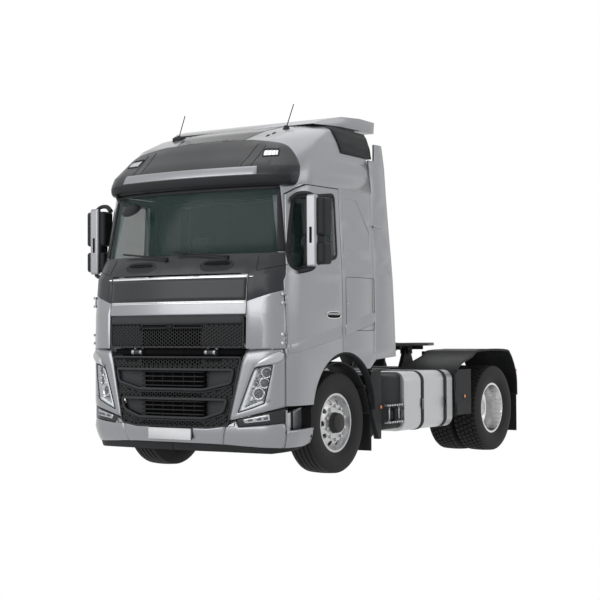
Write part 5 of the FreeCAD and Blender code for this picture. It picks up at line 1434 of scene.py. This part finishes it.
# Radius of the crown: radius - drop (across / half)^2, less the groove's depth or the row's cut
def makeTyre(look, centre):
    shape = treadShape
    edges = [(0.5 * (a + b) + side * look["groove"] * k, deep) for a, b in zip(look["rows"], look["rows"][1:])
             for side, k, deep in ((-1, 1.25, 0), (-1, 1.0, 1), (1, 1.0, 1), (1, 1.25, 0))]
    spread = [(s * w, 0) for s in (-1, 1) for w in (shape["half"], shape["inset"])]
    beside = [(row + s * shape["besideRow"], 0) for row in look["rows"][1:-1] for s in (-1, 1)]
    across, deep = np.array(sorted(edges + spread + beside)).T
    crown = shape["radius"] - shape["drop"] * (across / shape["half"]) ** 2 - look["depth"] * deep
    side = np.array(sidewall)
    profile = np.concatenate([side * (-1, 1), np.stack([across, crown], 1), side[::-1]])
    steps = look["pitches"] * look["samples"]
    turn = np.linspace(0, 2 * math.pi, steps, endpoint=False)
    row = np.abs(profile[:, :1] - np.array(look["rows"])).argmin(1)
    beat = (np.arange(steps)[None, :] + 2 * row[:, None]) % look["samples"]
    reach = np.abs(profile[:, :1])
    tread = (profile[:, 1:] > shape["cutAbove"]) & (reach < shape["shoulder"])
    if look["edgeOnly"]:
        tread = tread & (reach > shape["outerRow"])
    radius = profile[:, 1:] - look["cut"] * (tread & (beat == look["samples"] - 1))
    along = profile[:, :1] + 0 * turn
    points = np.stack([along, radius * np.cos(turn), radius * np.sin(turn)], -1) + np.array(centre)
    tyre = build("tyre", points, gridFaces(len(profile), steps, True, True), "rubber")
    outward(tyre)
    tyre.data.polygons.foreach_set("use_smooth", [False] * len(tyre.data.polygons))
    return tyre


tyreX = dict(steer=1.015, drive=(0.743, 1.088))
frontTyre = makeTyre(tyreLook["steer"], (tyreX["steer"], axleY, axleZ))
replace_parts(both(frontTyre, "steerTyre", "front_wheel_{}")[0], "front_tyre_left", "front_tyre_right")
rearTyres = joined("driveTyres", [makeTyre(tyreLook["drive"], (x, rearAxleY, axleZ)) for x in tyreX["drive"]])
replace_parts(both(rearTyres, "driveTyres", "rear_wheels_{}")[0], "rear_tyres_left", "rear_tyres_right")
print("tyres done")

# Hub cap: dark dome over the front hub, inside its nut ring
hubLook = dict(x=1.112, radius=0.101, reach=0.076, bolts=8)


# Dome turned round the axle, with bolts evenly round its flange
def makeHub(spec):
    centre = (spec["x"], axleY, axleZ)
    r, reach = spec["radius"], spec["reach"]
    shape = [(0.0, r * 1.16), (0.006, r * 1.16), (0.008, r), (0.72 * reach, 0.98 * r), (0.9 * reach, 0.91 * r),
             (0.97 * reach, 0.74 * r), (0.985 * reach, 0.42 * r), (reach, 0.4 * r), (reach, 0.0)]
    parts = [turned("cap", shape, centre, "casting", 64)]
    for k in range(spec["bolts"]):
        turn = 2 * math.pi * (k + 0.5) / spec["bolts"]
        spot = np.array(centre) + (0.008, 1.08 * r * math.cos(turn), 1.08 * r * math.sin(turn))
        parts.append(turned("capBolt", [(-0.004, 0.006), (0.003, 0.006), (0.004, 0.0)], spot, "bolts", 12))
    return joined("frontHub", parts)


both(makeHub(hubLook), "frontHub", "front_wheel_{}")
print("hubs done")

# Tank side: filler cap, ladder with two rungs and its uprights, and strap buckles
tankLook = dict(cap=(0.62, 0.04, 0.983), capRadius=0.062,
                ladderY=(axleY + 0.83, axleY + 1.13), ladderZ=(0.645, 0.468), ladderX=1.262, wall=1.246,
                grips=5, gripPitch=0.05, buckleY=(axleY + 1.605, axleY + 2.165),
                buckle=((1.236, -0.018, 0.6), (1.25, 0.018, 0.66)), screwX=1.252, screwZ=(0.57, 0.69), nutZ=0.68)


# Cap turned about Z, its grip ribbed where sin(24 turn) is positive, and an ear across it
def makeCap(spec):
    r, middle = spec["capRadius"], np.array(spec["cap"])
    shape = [(0.0, 0.8 * r), (0.012, 0.8 * r), (0.014, r), (0.036, r), (0.042, 0.9 * r), (0.042, 0.3 * r),
             (0.046, 0.0)]
    grip = turned("cap", shape, spec["cap"], "plastic", 72, "Z",
                  lambda along, turn: 0.003 * (np.sin(24 * turn) > 0) * (along > 0.013) * (along < 0.037))
    ear = boxPiece("capEar", middle + (-0.012, -1.1 * r, 0.03), middle + (0.012, 1.1 * r, 0.052), "plastic",
                   0.006, 3)
    return joined("fillerCap", [grip, ear])


# Rungs on smooth paths out of the wall and back, with grip rings, and two uprights
def makeLadder(spec):
    (y0, y1), x, wall = spec["ladderY"], spec["ladderX"], spec["wall"]
    (top, low), face, pitch, parts = spec["ladderZ"], x + 0.004, spec["gripPitch"], []
    for z in (top, low):
        path = [(wall - 0.03, y0, z), (x, y0 + 0.006, z), (face, y0 + 0.03, z), (face, y1 - 0.03, z),
                (x, y1 - 0.006, z), (wall - 0.03, y1, z)]
        parts.append(tube("rung", smoothPath(path, 40), 0.011, "satin", 14))
        for k in range(spec["grips"]):
            y = y0 + pitch + pitch * k
            parts.append(turned("grip", [(-0.006, 0.0122), (0.006, 0.0122)], (face, y, z), "trim", 14, "Y"))
    for y in (y0 + pitch, y1 - pitch):
        parts.append(tube("upright", [(wall, y, low), (wall, y, top)], 0.009, "satin", 12))
    return joined("ladder", parts)


# Strap buckle: a plate, an upright screw and its nut
def makeTankTrim(spec):
    x, (low, high), parts = spec["screwX"], spec["screwZ"], []
    for y in spec["buckleY"]:
        corners = (np.array(corner) + (0.0, y, 0.0) for corner in spec["buckle"])
        parts.append(boxPiece("buckle", *corners, "plastic", 0.004, 2))
        parts.append(tube("screw", [(x, y, low), (x, y, high)], 0.005, "bolts", 10))
        parts.append(turned("screwNut", [(-0.008, 0.009), (0.008, 0.009)], (x, y, spec["nutZ"]), "bolts", 6, "Z"))
    return joined("strapBuckles", parts)


both(makeLadder(tankLook), "ladder", "chassis")
rideAs(makeCap(tankLook), "chassis")
rideAs(makeTankTrim(tankLook), "chassis")

# Side markers and tail lamps
markerLook = dict(amber=((1.203, -0.651, 0.632), (1.241, 1.195, 0.676)), size=0.021, red=(1.239, 2.588, 0.93),
                  lamp=((0.25, 2.637, 0.762), (0.415, 2.672, 0.924)),
                  lenses=((0.256, 0.322, "red"), (0.326, 0.366, "amber"), (0.37, 0.409, "reflector")))


# Side markers: a base and a smaller lens on it, and the red lens by the tail
def makeLamps(spec):
    parts, h, lens = [], spec["size"], 0.8 * spec["size"]
    for x, y, z in spec["amber"]:
        parts.append(boxPiece("base", (x - 0.006, y - h, z - h), (x + 0.002, y + h, z + h), "plastic", 0.003, 2))
        parts.append(boxPiece("lens", (x, y - lens, z - lens), (x + 0.008, y + lens, z + lens), "amber", 0.004, 3))
    x, y, z = spec["red"]
    parts.append(boxPiece("redLens", (x - 0.004, y - 0.012, z - 0.025), (x + 0.006, y + 0.012, z + 0.025), "red",
                          0.003, 3))
    return joined("sideMarkers", parts)


# Tail lamp: a housing with lenses side by side on its rear face
def makeTail(spec):
    low, high = spec["lamp"]
    parts = [boxPiece("housing", low, high, "plastic", 0.008, 3)]
    for x0, x1, material in spec["lenses"]:
        near, far = (x0, high[1] - 0.006, low[2] + 0.008), (x1, high[1] + 0.004, high[2] - 0.008)
        parts.append(boxPiece("lens", near, far, material, 0.004, 3))
    return joined("tailLamp", parts)


both(makeLamps(markerLook), "sideMarkers", "chassis")
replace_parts(both(makeTail(markerLook), "tailLamp", "chassis")[0], "tail_lamps")

# Rear wing: the CAD's outline with rounded corners, its edge bead, seams, side panel and flap
wingLook = dict(x=(0.575, 1.238), tail=2.675,
                outer=[(0.985, 0.465), (0.985, 0.96), (1.41, 1.14), (1.59, 1.2), (2.27, 1.2), (2.45, 1.14),
                       (2.605, 0.9), (2.63, 0.64)],
                inner=[(2.612, 0.64), (2.588, 0.9), (2.437, 1.126), (2.265, 1.182), (1.595, 1.182), (1.417, 1.122),
                       (1.003, 0.948), (1.003, 0.465)], seams=(1.5, 1.93, 2.36),
                sidePanel=((0.987, 0.467), (1.37, 0.985)), step=((1.01, 0.5), (1.345, 0.62)), flapZ=(0.2, 0.665),
                flapRibs=7, ribZ=(0.22, 0.64), armY=(1.67, 2.23), armX=(0.425, 0.455), armZ=(1.15, 1.183),
                legZ=(0.8, 1.17))


# Wing: the band between two smooth paths run across in columns, closed at both ends
def makeWing(spec):
    (x0, x1), parts = spec["x"], []
    outer, inner = (np.array(spec[key]) for key in ("outer", "inner"))
    path = smoothPath(outer, 64)
    within = smoothPath(inner[::-1], 64)
    loop = np.concatenate([path, within[::-1]])
    columns = [x0, x1 - 0.012, x1 - 0.003, x1]
    points = np.stack([np.concatenate([np.full((len(loop), 1), x), loop], 1) for x in columns])
    points[3, :, 2] -= 0.004 * (np.arange(len(loop)) < len(path))
    count = len(loop)
    faces = gridFaces(len(columns), count, False, True)
    half = len(path)
    for end in (0, len(columns) - 1):
        k = np.arange(half - 1)
        faces += (end * count + np.stack([k, k + 1, count - 2 - k, count - 1 - k], 1)).tolist()
    parts.append(outward(build("shell", points, faces, "plastic")))
    parts.append(tube("edge", np.concatenate([np.full((half, 1), x1 - 0.004), path], 1), 0.006, "plastic", 8))
    for y in spec["seams"]:
        z = np.interp(y, path[:, 0], path[:, 1])
        parts.append(tube("seam", [(x0 + 0.01, y, z), (x1 - 0.01, y, z)], 0.004, "trim", 6))
    low, high = spec["sidePanel"]
    parts.append(boxPiece("sidePanel", (x1 - 0.016, *low), (x1, *high), "plastic", 0.005, 3))
    low, high = spec["step"]
    parts.append(boxPiece("step", (x1 - 0.004, *low), (x1 + 0.004, *high), "plastic", 0.003, 3))
    flapY, (low, high) = spec["tail"] - 0.062, spec["flapZ"]
    parts.append(boxPiece("flap", (x0 + 0.02, flapY, low), (x1 - 0.01, flapY + 0.012, high), "rubber", 0.003, 2))
    low, high = spec["ribZ"]
    for k in range(spec["flapRibs"]):
        x = x0 + 0.06 + k * (x1 - x0 - 0.13) / (spec["flapRibs"] - 1)
        parts.append(boxPiece("flapRib", (x - 0.006, flapY + 0.01, low), (x + 0.006, flapY + 0.018, high),
                              "rubber", 0.003, 1))
    (near, far), (armLow, armTop), (legLow, legTop) = spec["armX"], spec["armZ"], spec["legZ"]
    for y in spec["armY"]:
        parts.append(boxPiece("arm", (near, y, armLow), (x0 + 0.06, y + 0.04, armTop), "plastic", 0.004, 2))
        parts.append(boxPiece("leg", (near, y, legLow), (far, y + 0.04, legTop), "plastic", 0.004, 2))
    return joined("rearWing", parts)


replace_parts(both(makeWing(wingLook), "rearWing", "chassis")[0], "rear_wings")

# Frame: rows of flanged bolts along both rails
boltLook = dict(x=0.4255, rows=(0.745, 0.92), start=0.98, end=2.55, pitch=0.095, radius=0.011)


# Six-sided bolts turned about X at even pitch along each row
def makeBolts(spec):
    parts, r = [], spec["radius"]
    shape = [(0.0, 1.5 * r), (0.003, 1.5 * r), (0.0035, r), (0.012, r), (0.013, 0.7 * r), (0.013, 0.0)]
    for z in spec["rows"]:
        for y in np.arange(spec["start"], spec["end"], spec["pitch"]):
            parts.append(turned("bolt", shape, (spec["x"], y, z), "bolts", 6))
    return joined("railBolts", parts)


both(makeBolts(boltLook), "railBolts", "chassis")
print("chassis done")

# Padded goods: how finely the shell is remeshed and how far it swells
padLook = dict(voxel=0.013, pressure=4.0, frames=14, cap=0.014, channelWidth=0.011, roundness=8)


# Inflated pad: the shell is remeshed, swells under inner pressure for some frames, and no point
# moves further than the cap; a pull towards the middle, exp(-(distance / width)^2) of its depth,
# sets the channels
def inflate(piece, channels=(), depth=0.012, axis=1):
    remesh = piece.modifiers.new("remesh", "REMESH")
    remesh.mode = "VOXEL"
    remesh.voxel_size = padLook["voxel"]
    bpy.context.view_layer.update()
    mesh = bpy.data.meshes.new_from_object(piece.evaluated_get(bpy.context.evaluated_depsgraph_get()))
    piece.modifiers.clear()
    piece.data = mesh
    count = len(mesh.vertices)
    start = np.empty(count * 3)
    mesh.vertices.foreach_get("co", start)
    start = start.reshape(-1, 3)
    places = start.copy()
    cloth = piece.modifiers.new("cloth", "CLOTH")
    cloth.settings.use_pressure = True
    cloth.settings.uniform_pressure_force = padLook["pressure"]
    cloth.settings.effector_weights.gravity = 0.0
    cloth.point_cache.frame_start = 1
    cloth.point_cache.frame_end = padLook["frames"]
    for step in range(1, padLook["frames"] + 1):
        bpy.context.scene.frame_set(step)
    swollen = piece.evaluated_get(bpy.context.evaluated_depsgraph_get()).data
    after = np.empty(count * 3)
    swollen.vertices.foreach_get("co", after)
    move = after.reshape(-1, 3) - start
    far = np.linalg.norm(move, axis=1)[:, None]
    places = start + move * np.minimum(1.0, padLook["cap"] / np.maximum(far, 1e-9))
    piece.modifiers.clear()
    bpy.context.scene.frame_set(1)
    middle = places.mean(0)
    for spot in channels:
        near = np.exp(-((places[:, axis] - spot) / padLook["channelWidth"]) ** 2)[:, None]
        away = np.maximum(np.abs(places - middle).min(1)[:, None], 0.05)
        places = places + (middle - places) * near * depth / away
    mesh.vertices.foreach_set("co", places.ravel())
    mesh.update()
    mesh.polygons.foreach_set("use_smooth", [True] * len(mesh.polygons))
    smooth = piece.modifiers.new("smooth", "SUBSURF")
    smooth.levels = smooth.render_levels = 1
    return piece


# Pad shell: a block's unit points over their norm of the roundness's power, stretched to the two
# corners, leant back with height; its sides pull in between its edges by pull (1 - u^2)
def padShell(name, low, high, material, pull=0.012, cuts=9, lean=0.0):
    low, high = np.array(low, float), np.array(high, float)
    edit = bmesh.new()
    bmesh.ops.create_cube(edit, size=2.0)
    bmesh.ops.subdivide_edges(edit, edges=edit.edges[:], cuts=cuts, use_grid_fill=True)
    unit = np.array([v.co for v in edit.verts])
    faces = [[v.index for v in f.verts] for f in edit.faces]
    edit.free()
    square = np.clip(unit, -1, 1)
    size = (high - low) / 2
    inward = np.stack([pull * square[:, k] * (1 - square[:, (k + 1) % 3] ** 2) * (np.abs(square[:, k]) > 0.99)
                       for k in range(3)], 1)
    inward[:, 2] = 0.0
    power = padLook["roundness"]
    norm = (np.abs(square) ** power).sum(1)[:, None] ** (1 / power)
    places = (low + high) / 2 + (square / norm) * size - inward
    places[:, 1] += lean * (places[:, 2] - low[2])
    return outward(build(name, places, faces, material))


# Seats: lengths from the cab floor and the seat's own middle, as the CAD seats have them
seatLook = dict(x=0.56, y=axleY - 0.33, floor=1.25, cushion=((-0.235, -0.255, 0.275), (0.235, 0.225, 0.39)),
                back=((-0.225, 0.165, 0.4), (0.225, 0.262, 0.99)), rest=((-0.12, 0.3, 1.01), (0.12, 0.37, 1.18)),
                lean=0.17, restLean=0.12, stand=((-0.2, -0.23, 0.0), (0.2, 0.2, 0.262)),
                channels=(-0.16, -0.04, 0.08), backChannels=(0.55, 0.7, 0.85), folds=6, foldPitch=0.036,
                armX=(-0.24, 0.24), arm=((-0.02, -0.13, 0.55), (0.02, 0.2, 0.6)), postX=(-0.05, 0.05),
                post=((0.35, 0.97), (0.34, 1.06)))


# Seat: padded cushion, back and rest, on a folded stand with arm rests and posts
def makeSeat(spec, side, word):
    origin = np.array((side * spec["x"], spec["y"], spec["floor"]))
    made = []
    low, high = (origin + np.array(c) for c in spec["cushion"])
    cushion = inflate(padShell("seatCushion" + word, low, high, "fabric"),
                      [origin[1] + c for c in spec["channels"]])
    low, high = (origin + np.array(c) for c in spec["back"])
    back = inflate(padShell("seatBack" + word, low, high, "fabric", lean=spec["lean"]),
                   [origin[2] + c for c in spec["backChannels"]], axis=2)
    low, high = (origin + np.array(c) for c in spec["rest"])
    rest = inflate(padShell("headRest" + word, low, high, "fabric", lean=spec["restLean"]))
    for pad, fill in ((cushion, 0.7), (back, 0.7), (rest, 0.8)):
        rideAs(pad, "cab")
        made.append(pad)
    low, high = (origin + np.array(c) for c in spec["stand"])
    parts = [boxPiece("stand", low, high, "dash", 0.02, 4)]
    for k in range(spec["folds"]):
        z = low[2] + 0.03 + spec["foldPitch"] * k
        parts.append(boxPiece("fold", (low[0] - 0.006, low[1] - 0.006, z),
                              (high[0] + 0.006, high[1] + 0.006, z + 0.018), "trim", 0.008, 3))
    for x in spec["armX"]:
        near, far = (origin + (x + a, b, c) for a, b, c in spec["arm"])
        parts.append(boxPiece("armRest", near, far, "dash", 0.018, 4))
    for x in spec["postX"]:
        parts.append(tube("post", [origin + (x, y, z) for y, z in spec["post"]], 0.006, "satin", 10))
    made.append(rideAs(joined("seatStand" + word, parts), "cab"))
    return made


for side, word in ((1, "Left"), (-1, "Right")):
    for piece in makeSeat(seatLook, side, word):
        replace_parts(piece, "seats")
print("seats done")

# Bunk: a plain chest, its mattress and a pillow
bunkLook = dict(chest=((-1.15, -1.385, 1.25), (1.15, -0.868, 1.61)),
                mattress=((-1.12, -1.37, 1.625), (1.12, -0.885, 1.775)), channels=(-0.75, -0.375, 0.0, 0.375, 0.75),
                channelDepth=0.01, pillow=((-1.02, -1.3, 1.8), (-0.62, -0.94, 1.86)), pillowPull=0.03)
chest = boxPiece("bunkChest", *bunkLook["chest"], "dash", 0.02, 4)
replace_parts(rideAs(chest, "cab"), "bunk")
mattress = inflate(padShell("mattress", *bunkLook["mattress"], "mattress"), bunkLook["channels"],
                   bunkLook["channelDepth"], 0)
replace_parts(rideAs(mattress, "cab"), "bunk")
pillow = inflate(padShell("pillow", *bunkLook["pillow"], "mattress", bunkLook["pillowPull"]))
rideAs(pillow, "cab")
print("bunk done")

# Curtains: hung in folds beside the bunk that grow deeper downwards, under a rail
curtainLook = dict(x=(0.84, 1.1), y=axleY + 0.015, z=(1.86, 2.79), folds=8, amplitude=0.016, taper=0.45,
                   unevenness=0.15, rows=26, foldColumns=12, cloth=0.0015, rail=(1.11, 2.797, 0.008))


# y = amplitude (1 - taper share) (1 + a slow sine) sin(folds x), share running up the cloth
def makeCurtain(spec, side, name):
    x = np.linspace(*spec["x"], spec["folds"] * spec["foldColumns"])[None, :]
    z = np.linspace(*spec["z"], spec["rows"])[:, None]
    share = (z - spec["z"][0]) / (spec["z"][1] - spec["z"][0])
    turn = 2 * math.pi * spec["folds"] * (x - spec["x"][0]) / (spec["x"][1] - spec["x"][0])
    slow = 1 + spec["unevenness"] * np.sin(3.1 * x * 17 + 2 * share)
    deep = spec["amplitude"] * (1.0 - spec["taper"] * share) * slow
    points = np.stack([side * (x + 0.008 * np.sin(turn * 0.5) * (1 - share)), spec["y"] + deep * np.sin(turn),
                       z + 0 * x], -1)
    piece = build(name, points, gridFaces(spec["rows"], x.shape[1]), "curtain")
    wall = piece.modifiers.new("wall", "SOLIDIFY")
    wall.thickness = spec["cloth"]
    rideAs(piece, "cab")


for side, word in ((1, "Left"), (-1, "Right")):
    makeCurtain(curtainLook, side, "curtain" + word)
half, z, radius = curtainLook["rail"]
rail = tube("curtainRail", [(side * half, curtainLook["y"], z) for side in (-1, 1)], radius, "plastic", 12)
rideAs(rail, "cab")

# Lining: back panel, side panels and headliner, just inside the walls
liningLook = dict(back=((-1.12, -0.876, 1.82), (1.12, -0.869, 2.82)),
                  roof=((-1.07, -2.06, 2.862), (1.07, -0.9, 2.87)),
                  side=([(0.03, 1.84), (0.54, 1.84)], [(0.03, 2.8), (0.54, 2.8)]), sideLift=-0.062,
                  stitchY=(-1.2, -0.98), seamX=(-0.56, 0.0, 0.56))
parts = [boxPiece("backPanel", *liningLook["back"], "trim", 0.003, 2),
         boxPiece("headliner", *liningLook["roof"], "trim", 0.003, 2)]
for y in liningLook["stitchY"]:
    parts.append(tube("stitch", [(-1.05, y, 2.86), (1.05, y, 2.86)], 0.003, "dash", 8))
for x in liningLook["seamX"]:
    parts.append(tube("panelSeam", [(x, -0.877, 1.85), (x, -0.877, 2.8)], 0.003, "dash", 8))
rideAs(joined("lining", parts), "cab")
sidePanel = ribbon("sideLining", *liningLook["side"], sideSkin, "trim", liningLook["sideLift"], 0.006, 0.05, 6)
both(sidePanel, "sideLining", "cab")
print("interior done")
